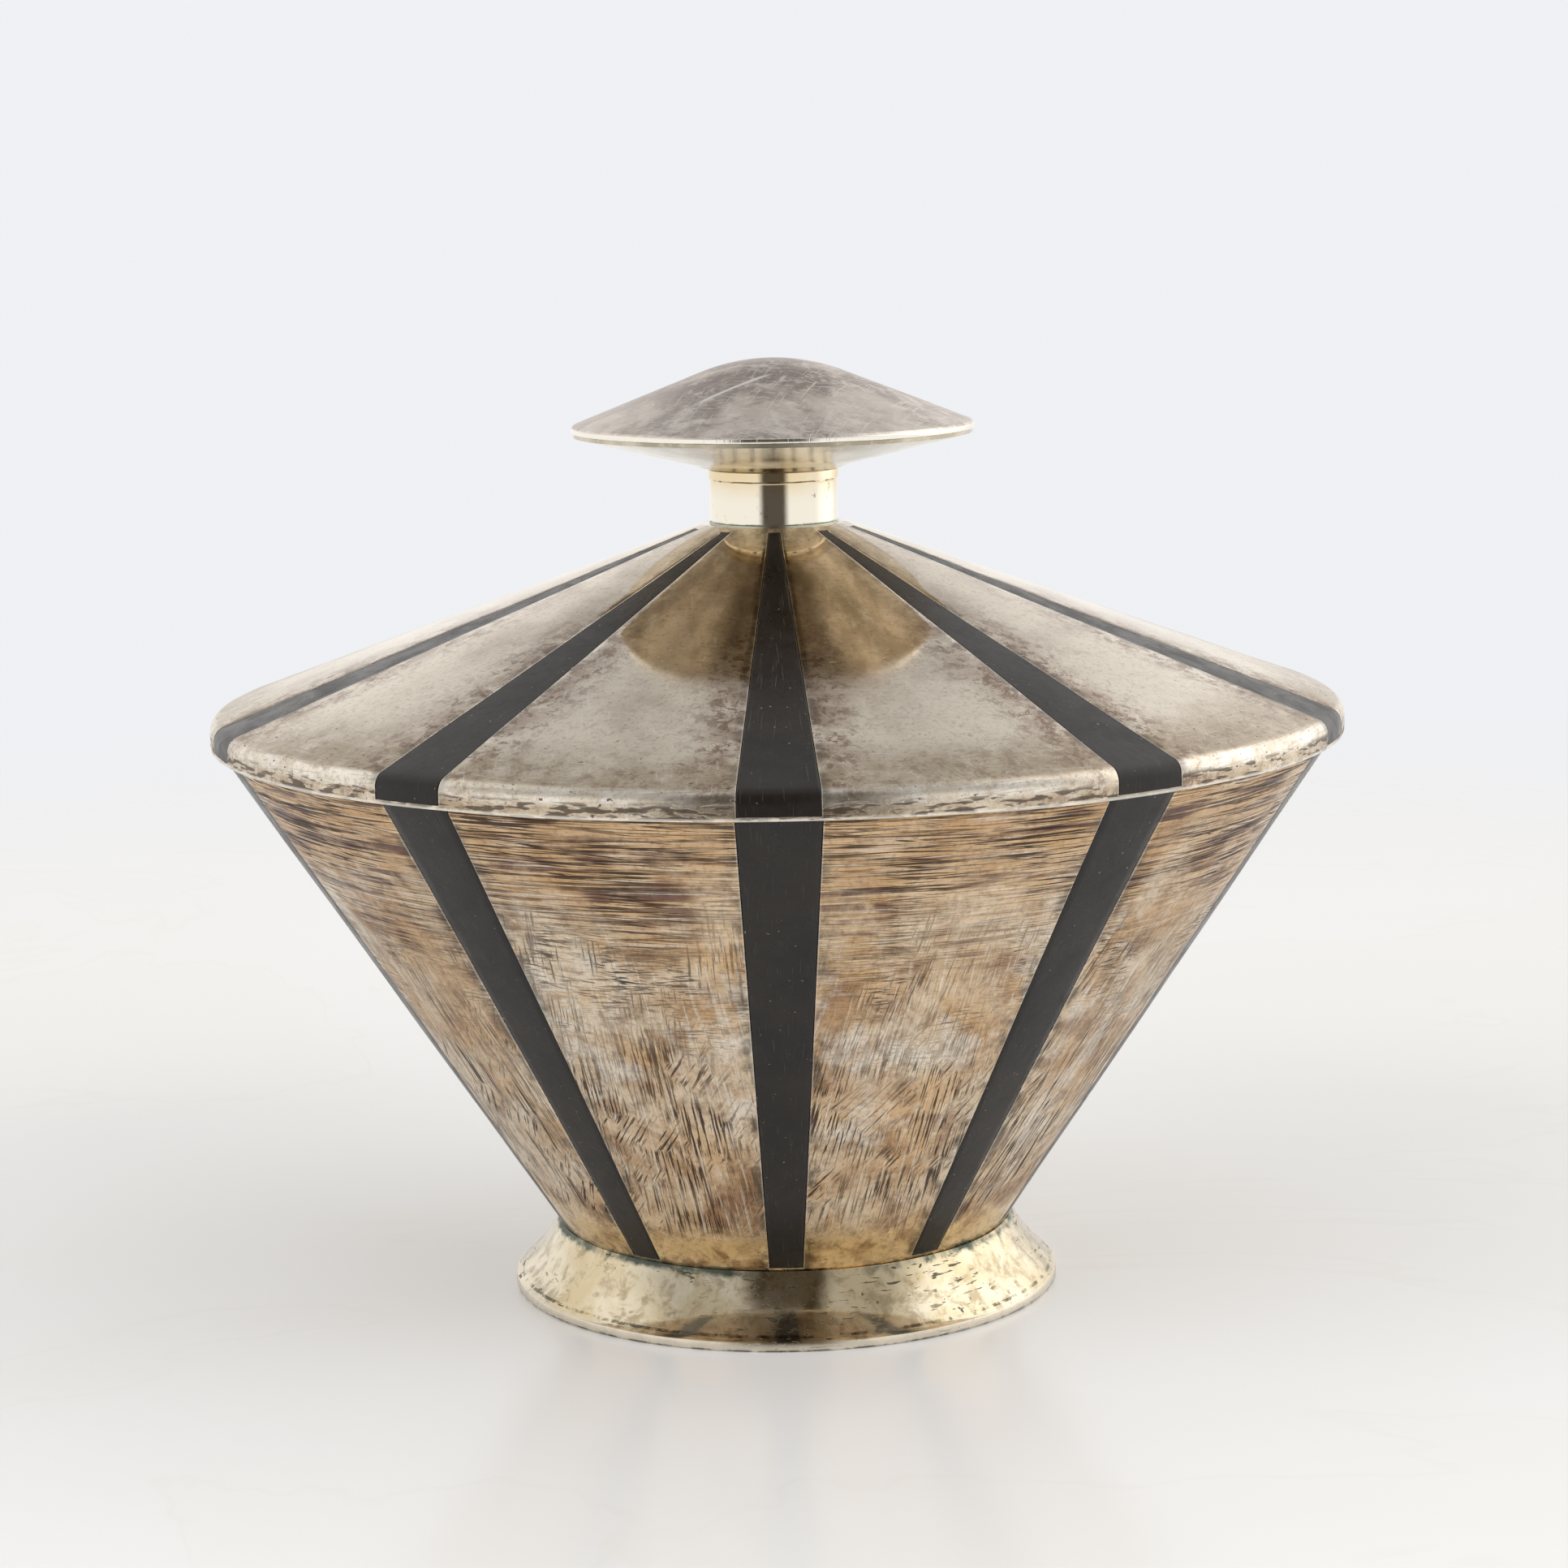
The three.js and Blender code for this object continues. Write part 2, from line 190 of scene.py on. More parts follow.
def sweptSheet(tree, inputs, columns, wrap):
    outline = inputs["Outline"]
    planInfo = addNode(tree, "GeometryNodeObjectInfo", {"Object": inputs["Plan"]})
    plan = planInfo.outputs["Geometry"]
    rows = addNode(tree, "GeometryNodeAttributeDomainSize", {0: outline}).outputs["Point Count"]
    planPoints = addNode(tree, "GeometryNodeAttributeDomainSize", {0: plan}).outputs["Point Count"]
    across = calc(tree, "ADD", product(tree, planPoints, columns), wrap)
    sheet = addNode(tree, "GeometryNodeMeshGrid", {"Vertices X": across, "Vertices Y": rows}).outputs["Mesh"]
    index = addNode(tree, "GeometryNodeInputIndex").outputs[0]
    row = calc(tree, "FLOORED_MODULO", index, rows)
    column = calc(tree, "FLOOR", calc(tree, "DIVIDE", calc(tree, "ADD", index, 0.5), rows))
    planRow = calc(tree, "FLOORED_MODULO", column, planPoints)
    turns = calc(tree, "FLOOR", calc(tree, "DIVIDE", calc(tree, "ADD", column, 0.5), planPoints))

    def sample(geometry, value, place):
        values = {"Geometry": geometry, "Value": value, "Index": place}
        node = addNode(tree, "GeometryNodeSampleIndex", values, data_type="FLOAT_VECTOR")
        return parts(tree, node.outputs[0])

    position = addNode(tree, "GeometryNodeInputPosition").outputs[0]
    named = "GeometryNodeInputNamedAttribute"
    inwards = addNode(tree, named, {"Name": "sink"}, data_type="FLOAT_VECTOR").outputs[0]
    place = sample(outline, position, row)
    sink = sample(outline, inwards, row)
    step = sample(plan, position, planRow)
    radius = timesPlus(tree, step[2], sink[0], place[0])
    height = timesPlus(tree, step[2], sink[2], place[2])
    pitch = calc(tree, "DIVIDE", 2 * pi, inputs["Repeats"])
    extra = calc(tree, "DIVIDE", step[1], calc(tree, "MAXIMUM", place[0], 1 * mm))
    angle = calc(tree, "ADD", timesPlus(tree, turns, pitch, step[0]), extra)
    x = product(tree, radius, calc(tree, "SINE", angle))
    y = product(tree, radius, product(tree, calc(tree, "COSINE", angle), -1.0))
    spot = vector(tree, x, y, height)
    return addNode(tree, "GeometryNodeSetPosition", {"Geometry": sheet, "Position": spot}).outputs[0]


def wobbled(tree, inputs, geometry):
    spot = addNode(tree, "GeometryNodeInputPosition").outputs[0]
    axes = parts(tree, spot)
    scale = calc(tree, "DIVIDE", 1.0, inputs["Wobble Size"])
    values = {"Vector": spot, "W": inputs["Wobble Seed"], "Scale": scale, "Detail": 1.0}
    noise = addNode(tree, "ShaderNodeTexNoise", values, noise_dimensions="4D").outputs[0]
    swing = product(tree, calc(tree, "SUBTRACT", noise, 0.5), 4.0)
    radius = fromAxis(tree, axes[0], axes[1])
    out = calc(tree, "DIVIDE", product(tree, swing, inputs["Wobble Out"]),
               calc(tree, "MAXIMUM", radius, 10 * mm))
    up = product(tree, swing, inputs["Wobble Up"])
    shift = vector(tree, product(tree, axes[0], out), product(tree, axes[1], out), up)
    return addNode(tree, "GeometryNodeSetPosition", {"Geometry": geometry, "Offset": shift}).outputs[0]


def newTree(name):
    tree = bpy.data.node_groups.new(name, "GeometryNodeTree")
    addInput(tree, "Outline", "NodeSocketGeometry")
    addInput(tree, "Plan", "NodeSocketObject")
    addInput(tree, "Repeats", "NodeSocketInt")
    for wobble in noWobble:
        addInput(tree, wobble, "NodeSocketFloat")
    addInput(tree, "Material", "NodeSocketMaterial")
    tree.interface.new_socket(name="Geometry", in_out="OUTPUT", socket_type="NodeSocketGeometry")
    return tree, tree.nodes.new("NodeGroupInput").outputs


def endTree(tree, inputs, geometry):
    values = {"Geometry": geometry, "Distance": mergeDistance}
    merged = addNode(tree, "GeometryNodeMergeByDistance", values).outputs[0]
    real = addNode(tree, "GeometryNodeRealizeInstances", {0: wobbled(tree, inputs, merged)}).outputs[0]
    values = {"Geometry": real, "Material": inputs["Material"]}
    dressed = addNode(tree, "GeometryNodeSetMaterial", values).outputs[0]
    tree.links.new(dressed, tree.nodes.new("NodeGroupOutput").inputs[0])
    return tree


def turningTree():
    tree, inputs = newTree("turnedRound")
    sheet = sweptSheet(tree, inputs, inputs["Repeats"], 1)
    return endTree(tree, inputs, sheet)


def inlayTree():
    # one inlay, then a copy of it at each turn round the axis
    tree, inputs = newTree("inlaidRound")
    inlay = sweptSheet(tree, inputs, 1, 0)
    values = {"Count": inputs["Repeats"], "Offset": (0, 0, 0)}
    spots = addNode(tree, "GeometryNodeMeshLine", values).outputs[0]
    number = addNode(tree, "GeometryNodeInputIndex").outputs[0]
    pitch = calc(tree, "DIVIDE", 2 * pi, inputs["Repeats"])
    turn = vector(tree, 0.0, 0.0, product(tree, number, pitch))
    values = {"Points": spots, "Instance": inlay, "Rotation": turn}
    copies = addNode(tree, "GeometryNodeInstanceOnPoints", values).outputs[0]
    real = addNode(tree, "GeometryNodeRealizeInstances", {0: copies}).outputs[0]
    return endTree(tree, inputs, real)


def finishMesh(mesh, sharpAngle=smoothBelow):
    # merges doubles, points faces outwards and keeps real corners crisp
    shape = bmesh.new()
    shape.from_mesh(mesh)
    bmesh.ops.remove_doubles(shape, verts=shape.verts, dist=doubleDistance)
    bmesh.ops.dissolve_degenerate(shape, edges=shape.edges, dist=doubleDistance)
    bmesh.ops.recalc_face_normals(shape, faces=shape.faces)
    for face in shape.faces:
        face.smooth = True
    for edge in shape.edges:
        edge.smooth = len(edge.link_faces) == 2 and edge.calc_face_angle(0) < sharpAngle
    shape.to_mesh(mesh)
    shape.free()


def fromTree(name, tree, outline, plan, repeats, wobble, material):
    modifier = outline.modifiers.new(name, "NODES")
    modifier.node_group = tree
    sockets = {item.name: item.identifier for item in tree.interface.items_tree if item.in_out == "INPUT"}
    values = {"Plan": plan, "Repeats": repeats, "Material": material, **wobble}
    for key, value in values.items():
        modifier[sockets[key]] = value
    graph = bpy.context.evaluated_depsgraph_get()
    mesh = bpy.data.meshes.new_from_object(outline.evaluated_get(graph))
    mesh.name = name
    finishMesh(mesh)
    outline.modifiers.clear()
    bpy.data.objects.remove(outline)
    bpy.data.objects.remove(plan)
    piece = bpy.data.objects.new(name, mesh)
    bpy.context.scene.collection.objects.link(piece)
    return piece


def settle(piece, body, slot, *nodes):
    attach(piece, body)
    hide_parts(*nodes)
    print("made", piece.name, len(piece.data.polygons), "faces")


def evenPlan(columns):
    return [(2 * pi * i / columns, 0, 0) for i in range(columns)]


def groovePlan(halfAngle, chamfer, panelColumns):
    # half a panel, across one groove, half a panel
    panel = [(stripePitch / 2 - halfAngle) * i / panelColumns for i in range(panelColumns)]
    left = [(-stripePitch / 2 + step, 0, 0) for step in panel]
    left += [(-halfAngle, -chamfer, 0), (-halfAngle, -0.3 * chamfer, 0.05), (-halfAngle, 0, 0.2)]
    left += [(-halfAngle, 0, 1), (-halfAngle / 2, 0, 1)]
    right = [(-angle, -extra, depth) for angle, extra, depth in reversed(left)]
    return left + [(0, 0, 1)] + right[:-1]


def inlayPlan(halfAngle, edge):
    left = [(-halfAngle, 0, 1), (-halfAngle, 0, 0.3), (-halfAngle, 0.25 * edge, 0.08), (-halfAngle, edge, 0)]
    left += [(-halfAngle * share, edge * share, 0) for share in (0.75, 0.5, 0.25)]
    right = [(-angle, -extra, depth) for angle, extra, depth in reversed(left)]
    return left + [(0, 0, 0)] + right


turning = turningTree()
inlaying = inlayTree()


def makeTurned(name, outline, columns, material):
    plan = planObject(name + "Plan", evenPlan(columns))
    return fromTree(name, turning, outlineObject(name + "Outline", outline), plan, 1, noWobble, material)


def makeStriped(name, tree, outline, plan, wobble, material):
    outline, plan = outlineObject(name + "Outline", outline), planObject(name + "Plan", plan)
    return fromTree(name, tree, outline, plan, stripeCount, wobble, material)


# materials

def newMaterial(name, finish):
    material = bpy.data.materials.new(name)
    material.use_nodes = True
    tree = material.node_tree
    shader = tree.nodes["Principled BSDF"]
    for key, value in finish.items():
        shader.inputs[key].default_value = value
    return material, tree, shader


def coat(tree, shader, color, roughness, height, depth):
    bump = addNode(tree, "ShaderNodeBump", {"Height": height, "Distance": depth, "Strength": 1.0})
    tree.links.new(color, shader.inputs["Base Color"])
    tree.links.new(roughness, shader.inputs["Roughness"])
    tree.links.new(bump.outputs[0], shader.inputs["Normal"])


def ownSpot(tree):
    return addNode(tree, "ShaderNodeTexCoord").outputs["Object"]


def whereRound(tree, halfAngle):
    # where a point is on the panels: metres from the panel's middle, metres from a stripe's edge
    spot = ownSpot(tree)
    x, y, z = parts(tree, spot)
    radius = fromAxis(tree, x, y)
    turn = calc(tree, "ARCTAN2", x, product(tree, y, -1.0))
    stripes = calc(tree, "DIVIDE", turn, stripePitch)
    panel = calc(tree, "FLOOR", stripes)
    middle = calc(tree, "SUBTRACT", calc(tree, "SUBTRACT", stripes, panel), 0.5)
    across = product(tree, product(tree, middle, stripePitch), radius)
    fromStripe = calc(tree, "SUBTRACT", 0.5, calc(tree, "ABSOLUTE", middle))
    fromEdge = timesPlus(tree, fromStripe, stripePitch, -halfAngle)
    edge = product(tree, fromEdge, radius)
    return {"spot": spot, "x": x, "y": y, "height": z, "radius": radius,
            "panel": panel, "across": across, "edge": edge}


def strokes(tree, where, turn, length, width, seed, low, high, warp=0.25):
    # brushed lines or short cuts: noise drawn out along one way and cut to its peaks; sizes in mm
    length, width = length * mm, width * mm
    c, s = cos(radians(turn)), sin(radians(turn))
    forward = timesPlus(tree, where["across"], c, product(tree, where["along"], s))
    sideways = timesPlus(tree, where["along"], c, product(tree, where["across"], -s))
    panel = product(tree, where["panel"], 3.7)
    place = vector(tree, calc(tree, "DIVIDE", forward, length), calc(tree, "DIVIDE", sideways, width), panel)
    return ease(tree, cloud(tree, place, 1.0, seed, 2.0, 0.55, warp), low, high)


def strokeSets(tree, where, table):
    # each setting: turn in degrees, length, width, seed, where the noise is cut, and waviness
    return {name: most(tree, *[strokes(tree, where, *setting) for setting in settings])
            for name, settings in table.items()}


bowlLook = {
    "finish": {"Metallic": 1.0},
    "pale": (0.84, 0.71, 0.54, 1), "tan": (0.66, 0.47, 0.29, 1), "rust": (0.30, 0.16, 0.085, 1),
    "dark": (0.06, 0.04, 0.03, 1), "gold": (0.96, 0.76, 0.48, 1), "worn": (0.96, 0.92, 0.84, 1),
    "dirt": (0.10, 0.10, 0.08, 1), "inside": (0.62, 0.50, 0.36, 1), "amber": (0.70, 0.46, 0.24, 1),
    "plum": (0.16, 0.09, 0.075, 1), "wall": 1.4 * mm,
    "strokes": {
        "streaks": [(2, 12, 1.0, 25.0, 0.50, 0.60, 0.3)],
        "level": [(1, 16, 0.30, 11.0, 0.56, 0.60, 0.06), (-1, 9, 0.20, 15.0, 0.55, 0.60, 0.06),
                  (-4, 6, 0.36, 12.0, 0.60, 0.64, 0.1)],
        "dashes": [(4, 4, 0.26, 13.0, 0.55, 0.60, 0.12), (-6, 2.5, 0.20, 26.0, 0.56, 0.61, 0.15)],
        "ticks": [(84, 6, 0.26, 14.0, 0.54, 0.60, 0.10)],
        "upright": [(89, 9, 0.30, 16.0, 0.55, 0.59, 0.06), (87, 4, 0.20, 27.0, 0.56, 0.60, 0.1)],
        "slanted": [(58, 4, 0.28, 17.0, 0.55, 0.60, 0.15)],
        "paleLevel": [(1, 12, 0.28, 19.0, 0.55, 0.62, 0.06)],
        "paleUpright": [(90, 7, 0.28, 20.0, 0.57, 0.63, 0.08)],
    },
}


def bowlSilver(look, shape):
    material, tree, shader = newMaterial("bowlSilver", look["finish"])
    where = whereRound(tree, shape["stripeHalfAngle"])
    rise = shape["rimZ"] - shape["baseZ"]
    up = calc(tree, "DIVIDE", calc(tree, "SUBTRACT", where["height"], shape["baseZ"]), rise)
    coneStep = (shape["rimRadius"] - shape["baseRadius"]) / rise
    where["along"] = product(tree, where["height"], hypot(1, coneStep))
    spot = where["spot"]
    lines = strokeSets(tree, where, look["strokes"])
    own = vector(tree, where["x"], where["y"], timesPlus(tree, where["panel"], 0.05, where["height"]))
    big = cloud(tree, own, 13 * mm, 1.0, 5.0, 0.6, 0.5)
    small = cloud(tree, own, 3.5 * mm, 2.0, 5.0, 0.65, 0.4)
    fine = cloud(tree, spot, 0.6 * mm, 3.0, 3.0, 0.7)

    color = blend(tree, ease(tree, big, 0.38, 0.60), look["pale"], look["tan"])
    amber = cloud(tree, own, 10 * mm, 6.0, 4.0, 0.6, 0.5)
    color = blend(tree, ease(tree, amber, 0.46, 0.64, 0.0, 0.8), color, look["amber"])
    color = blend(tree, ease(tree, small, 0.45, 0.66, 0.0, 0.65), color, look["rust"])
    # rust in patches, thickest under the rim
    patches = ease(tree, timesPlus(tree, ease(tree, up, 0.70, 1.0), 0.14, big), 0.52, 0.66)
    rusty = product(tree, patches, ease(tree, small, 0.30, 0.58, 0.35, 1.0))
    color = tint(tree, color, look["rust"], rusty, 0.65)
    # pale worn patches in the middle
    worn = cloud(tree, own, 9 * mm, 5.0, 6.0, 0.7, 0.3)
    wornHere = product(tree, ease(tree, worn, 0.51, 0.64), ease(tree, up, 0.12, 0.30),
                       ease(tree, up, 0.98, 0.80))
    color = tint(tree, color, look["worn"], wornHere, 0.55)
    # the polished zone over the foot
    polished = ease(tree, timesPlus(tree, small, 0.10, up), 0.17, 0.10)
    color = tint(tree, color, look["gold"], polished, 0.92)

    # warmer towards the rim, with dark streaks drawn level under it
    warmer = ease(tree, timesPlus(tree, amber, 0.5, up), 0.85, 1.25, 0.0, 0.75)
    color = blend(tree, warmer, color, look["amber"])
    streakZone = product(tree, ease(tree, up, 0.62, 0.88), ease(tree, big, 0.40, 0.54, 0.25, 1.0))
    streaks = product(tree, lines["streaks"], streakZone)
    color = tint(tree, color, look["plum"], streaks, 0.92)
    # brushed lines: level at the top, patches of both in the middle, upright and leaning lower down
    levelZone = ease(tree, timesPlus(tree, big, 0.6, up), 0.90, 1.14)
    lowZone = ease(tree, timesPlus(tree, worn, 0.5, up), 0.94, 0.66)
    patchNoise = cloud(tree, own, 7 * mm, 23.0, 3.0)
    crossing = ease(tree, patchNoise, 0.42, 0.52)
    levelPatch = ease(tree, patchNoise, 0.58, 0.46)
    leaning = ease(tree, cloud(tree, own, 6 * mm, 24.0, 2.0), 0.50, 0.58)
    straight = without(tree, leaning)
    belowLevel = without(tree, levelZone)
    middle = most(tree, product(tree, lines["ticks"], crossing), product(tree, lines["dashes"], levelPatch))
    low = most(tree, product(tree, lines["upright"], straight), product(tree, lines["slanted"], leaning))
    patchy = ease(tree, cloud(tree, own, 8 * mm, 18.0, 3.0), 0.36, 0.56, 0.35, 1.0)
    middle = product(tree, middle, without(tree, lowZone))
    low = product(tree, low, lowZone)
    below = product(tree, most(tree, middle, low), belowLevel)
    scored = most(tree, product(tree, lines["level"], levelZone), below)
    scored = product(tree, scored, patchy, without(tree, polished))
    color = tint(tree, color, look["dark"], scored, 0.92)
    # pale lines, the other half of the brushing
    paleLevel = product(tree, lines["paleLevel"], levelZone)
    paleUpright = product(tree, lines["paleUpright"], belowLevel)
    paleLines = product(tree, most(tree, paleLevel, paleUpright), without(tree, scored))
    paleLines = product(tree, paleLines, without(tree, polished))
    color = tint(tree, color, look["worn"], paleLines, 0.42)
    color = blend(tree, ease(tree, fine, 0.45, 0.75, 0.0, 0.4), color, look["dark"])
    # stains in the polished zone
    stains = product(tree, polished, ease(tree, small, 0.46, 0.62))
    color = tint(tree, color, look["rust"], stains, 0.75)

    # painted highlight: a thin bright line along each stripe's edge, with dirt next to it
    stripeEdgeHighlight = product(tree, ease(tree, where["edge"], 0.22 * mm, 0.12 * mm),
                     ease(tree, small, 0.30, 0.60, 0.3, 1.0))
    dirtBand = product(tree, ease(tree, where["edge"], 1.5 * mm, 0.5 * mm), ease(tree, small, 0.42, 0.62))
    color = tint(tree, color, look["dirt"], dirtBand, 0.6)
    color = tint(tree, color, look["worn"], stripeEdgeHighlight, 0.30)

    # the inside is smoother, with rings from the spinning
    tipRadius = shape["baseRadius"] - coneStep * shape["baseZ"]
    outerRadius = timesPlus(tree, where["height"], coneStep, tipRadius)
    depth = calc(tree, "SUBTRACT", outerRadius, where["radius"])
    inside = product(tree, ease(tree, depth, 0.85 * look["wall"], 1.0 * look["wall"]),
                     ease(tree, where["height"], shape["baseZ"] + 0.3 * mm, shape["baseZ"] + 0.9 * mm))
    rings = cloud(tree, vector(tree, where["radius"], where["height"], 0.0), 0.5 * mm, 21.0, 3.0, 0.6)
    stain = cloud(tree, spot, 12 * mm, 22.0, 4.0, 0.6, 0.6)
    insideColor = blend(tree, ease(tree, stain, 0.40, 0.72, 0.0, 0.7), look["inside"], look["rust"])
    insideColor = blend(tree, ease(tree, rings, 0.45, 0.70, 0.0, 0.4), insideColor, look["worn"])
    color = blend(tree, inside, color, insideColor)

    rough = ease(tree, big, 0.30, 0.70, 0.28, 0.40)
    rough = timesPlus(tree, scored, 0.20, rough)
    rough = timesPlus(tree, polished, -0.18, rough)
    rough = timesPlus(tree, stripeEdgeHighlight, -0.12, rough)
    relief = timesPlus(tree, scored, -0.8, product(tree, fine, 0.25))
    relief = timesPlus(tree, paleLines, 0.3, relief)
    relief = timesPlus(tree, small, 0.5, relief)
    coat(tree, shader, color, rough, relief, 0.05 * mm)
    return material


lidLook = {
    "finish": {"Metallic": 1.0},
    "pale": (0.88, 0.79, 0.66, 1), "mauve": (0.42, 0.31, 0.24, 1), "olive": (0.44, 0.35, 0.23, 1),
    "dark": (0.08, 0.06, 0.05, 1), "worn": (0.96, 0.92, 0.84, 1), "dirt": (0.10, 0.10, 0.08, 1),
    "brown": (0.26, 0.17, 0.12, 1),
    "strokes": {
        "rub": [(8, 6, 0.30, 14.0, 0.61, 0.68), (75, 5, 0.30, 15.0, 0.62, 0.69, 0.3),
                (130, 4, 0.28, 16.0, 0.63, 0.70, 0.3)],
        "brushed": [(-4, 5, 0.32, 18.0, 0.54, 0.62)],
        "specks": [(0, 0.9, 0.6, 19.0, 0.66, 0.71)],
        "bandMarks": [(0, 2.6, 0.48, 17.0, 0.50, 0.57)],
    },
}


def lidSilver(look, shape):
    material, tree, shader = newMaterial("lidSilver", look["finish"])
    where = whereRound(tree, shape["stripeHalfAngle"])
    along = calc(tree, "SUBTRACT", where["radius"], where["height"])
    where["along"] = along
    lines = strokeSets(tree, where, look["strokes"])
    bandStart = shape["radius"] - shape["edgeZ"] - shape["bandHeight"]
    spot = where["spot"]
    own = vector(tree, where["x"], where["y"], timesPlus(tree, where["panel"], 0.07, where["height"]))
    big = cloud(tree, own, 13 * mm, 1.0, 5.0, 0.6, 0.5)
    small = cloud(tree, own, 3.0 * mm, 2.0, 5.0, 0.65, 0.4)
    fine = cloud(tree, spot, 0.5 * mm, 3.0, 3.0, 0.7)
    blots = ease(tree, cloud(tree, own, 1.5 * mm, 4.0, 6.0, 0.8, 0.3), 0.50, 0.56)

    color = blend(tree, ease(tree, big, 0.42, 0.68, 0.0, 0.5), look["pale"], look["mauve"])
    # tarnish along the stripes and towards the edge
    nearEdge = ease(tree, along, bandStart - 15 * mm, bandStart - 5 * mm)
    nearEdge = product(tree, nearEdge, ease(tree, small, 0.30, 0.60, 0.35, 1.0))
    outwards = ease(tree, where["radius"], 22 * mm, 38 * mm, 0.10, 1.0)
    besideStripe = product(tree, ease(tree, where["edge"], 6.0 * mm, 0.6 * mm), ease(tree, small, 0.34, 0.60))
    besideStripe = product(tree, besideStripe, ease(tree, where["radius"], 18 * mm, 34 * mm, 0.35, 1.0))
    color = tint(tree, color, look["mauve"], besideStripe, 0.85)
    color = tint(tree, color, look["olive"], nearEdge, 0.8)
    blotZone = most(tree, ease(tree, where["edge"], 7 * mm, 1.5 * mm, 0.12, 1.0),
                    product(tree, nearEdge, 0.6))
    blotted = product(tree, blots, outwards, blotZone)
    color = tint(tree, color, look["brown"], blotted, 0.85)
    # painted highlight along the shoulder, broken up by noise
    shoulder = product(tree, ease(tree, along, bandStart - 2.6 * mm, bandStart - 1.4 * mm),
                       ease(tree, along, bandStart + 0.6 * mm, bandStart - 0.2 * mm),
                       ease(tree, small, 0.40, 0.58, 0.25, 1.0))
    color = tint(tree, color, look["worn"], shoulder, 0.75)

    # scratches, pits and the marks on the edge band
    color = blend(tree, product(tree, lines["rub"], 0.30), color, look["worn"])
    brushed = product(tree, lines["brushed"], nearEdge)
    color = tint(tree, color, look["mauve"], brushed, 0.45)
    specks = product(tree, lines["specks"], ease(tree, along, bandStart - 22 * mm, bandStart, 0.3, 1.0))
    onBand = ease(tree, along, bandStart - 0.4 * mm, bandStart + 0.3 * mm)
    bandMarks = product(tree, lines["bandMarks"], onBand)
    pits = most(tree, specks, bandMarks)
    color = tint(tree, color, look["dark"], pits, 0.8)
    color = blend(tree, ease(tree, fine, 0.50, 0.70, 0.0, 0.40), color, look["brown"])

    # painted highlights: thin bright lines along the stripes' edges and along the lowest edge, with dirt
    # beside the stripes
    stripeEdgeHighlight = product(tree, ease(tree, where["edge"], 0.20 * mm, 0.10 * mm),
                     ease(tree, small, 0.30, 0.60, 0.1, 0.5))
    lowest = ease(tree, where["height"], shape["edgeZ"] + 0.42 * mm, shape["edgeZ"] + 0.20 * mm)
    dirtBand = product(tree, ease(tree, where["edge"], 1.1 * mm, 0.4 * mm), ease(tree, small, 0.42, 0.62))
    color = tint(tree, color, look["dirt"], dirtBand, 0.5)
    paintedHighlight = most(tree, stripeEdgeHighlight, lowest)
    color = tint(tree, color, look["worn"], paintedHighlight, 0.55)

    rough = ease(tree, big, 0.30, 0.70, 0.03, 0.055)
    rough = calc(tree, "ADD", ease(tree, where["radius"], 30 * mm, 52 * mm, 0.0, 0.20), rough)
    rough = timesPlus(tree, besideStripe, 0.10, rough)
    rough = timesPlus(tree, pits, 0.2, rough)
    rough = timesPlus(tree, paintedHighlight, -0.08, rough)
    relief = timesPlus(tree, pits, -0.7, product(tree, fine, 0.06))
    relief = timesPlus(tree, small, 0.12, relief)
    relief = product(tree, relief, ease(tree, where["radius"], 24 * mm, 40 * mm, 0.2, 1.0))
    coat(tree, shader, color, rough, relief, 0.03 * mm)
    return material


enamelLook = {
    "finish": {"Metallic": 0.0, "Specular IOR Level": 0.36},
    "black": (0.007, 0.005, 0.004, 1), "grey": (0.013, 0.010, 0.008, 1), "dust": (0.30, 0.26, 0.21, 1),
}


def blackEnamel(look, name, halfAngle):
    material, tree, shader = newMaterial(name, look["finish"])
    where = whereRound(tree, halfAngle)
    spot = where["spot"]
    big = cloud(tree, spot, 9 * mm, 31.0, 4.0, 0.6, 0.3)
    color = blend(tree, ease(tree, big, 0.35, 0.65), look["black"], look["grey"])
    speck = cloud(tree, spot, 0.45 * mm, 32.0, 1.0)
    color = blend(tree, ease(tree, speck, 0.72, 0.80, 0.0, 0.7), color, look["dust"])
    # the stripe runs along the panels' edge, so across is measured from the stripe instead
    side = calc(tree, "ABSOLUTE", where["edge"])
    place = vector(tree, calc(tree, "DIVIDE", side, 0.12 * mm),
                   calc(tree, "DIVIDE", where["height"], 3.0 * mm), where["panel"])
    scratch = ease(tree, cloud(tree, place, 1.0, 33.0, 2.0, 0.5, 0.4), 0.64, 0.72)
    color = tint(tree, color, look["dust"], scratch, 0.12)
    smear = cloud(tree, spot, 4 * mm, 34.0, 5.0, 0.7, 1.0)
    rough = ease(tree, smear, 0.35, 0.70, 0.26, 0.42)
    rough = timesPlus(tree, scratch, 0.15, rough)
    fine = cloud(tree, spot, 0.8 * mm, 35.0, 3.0, 0.6)
    relief = timesPlus(tree, scratch, -0.5, fine)
    coat(tree, shader, color, rough, relief, 0.02 * mm)
    return material


footLook = {
    "finish": {"Metallic": 1.0},
    "gold": (0.64, 0.53, 0.34, 1), "pale": (0.78, 0.70, 0.54, 1), "olive": (0.34, 0.26, 0.15, 1),
    "dark": (0.05, 0.045, 0.035, 1), "verdigris": (0.06, 0.09, 0.075, 1), "worn": (0.80, 0.74, 0.64, 1),
    "strokes": {
        "pits": [(0, 2.2, 0.42, 43.0, 0.60, 0.65)],
        "dots": [(20, 1.1, 0.7, 44.0, 0.66, 0.70)],
    },
}


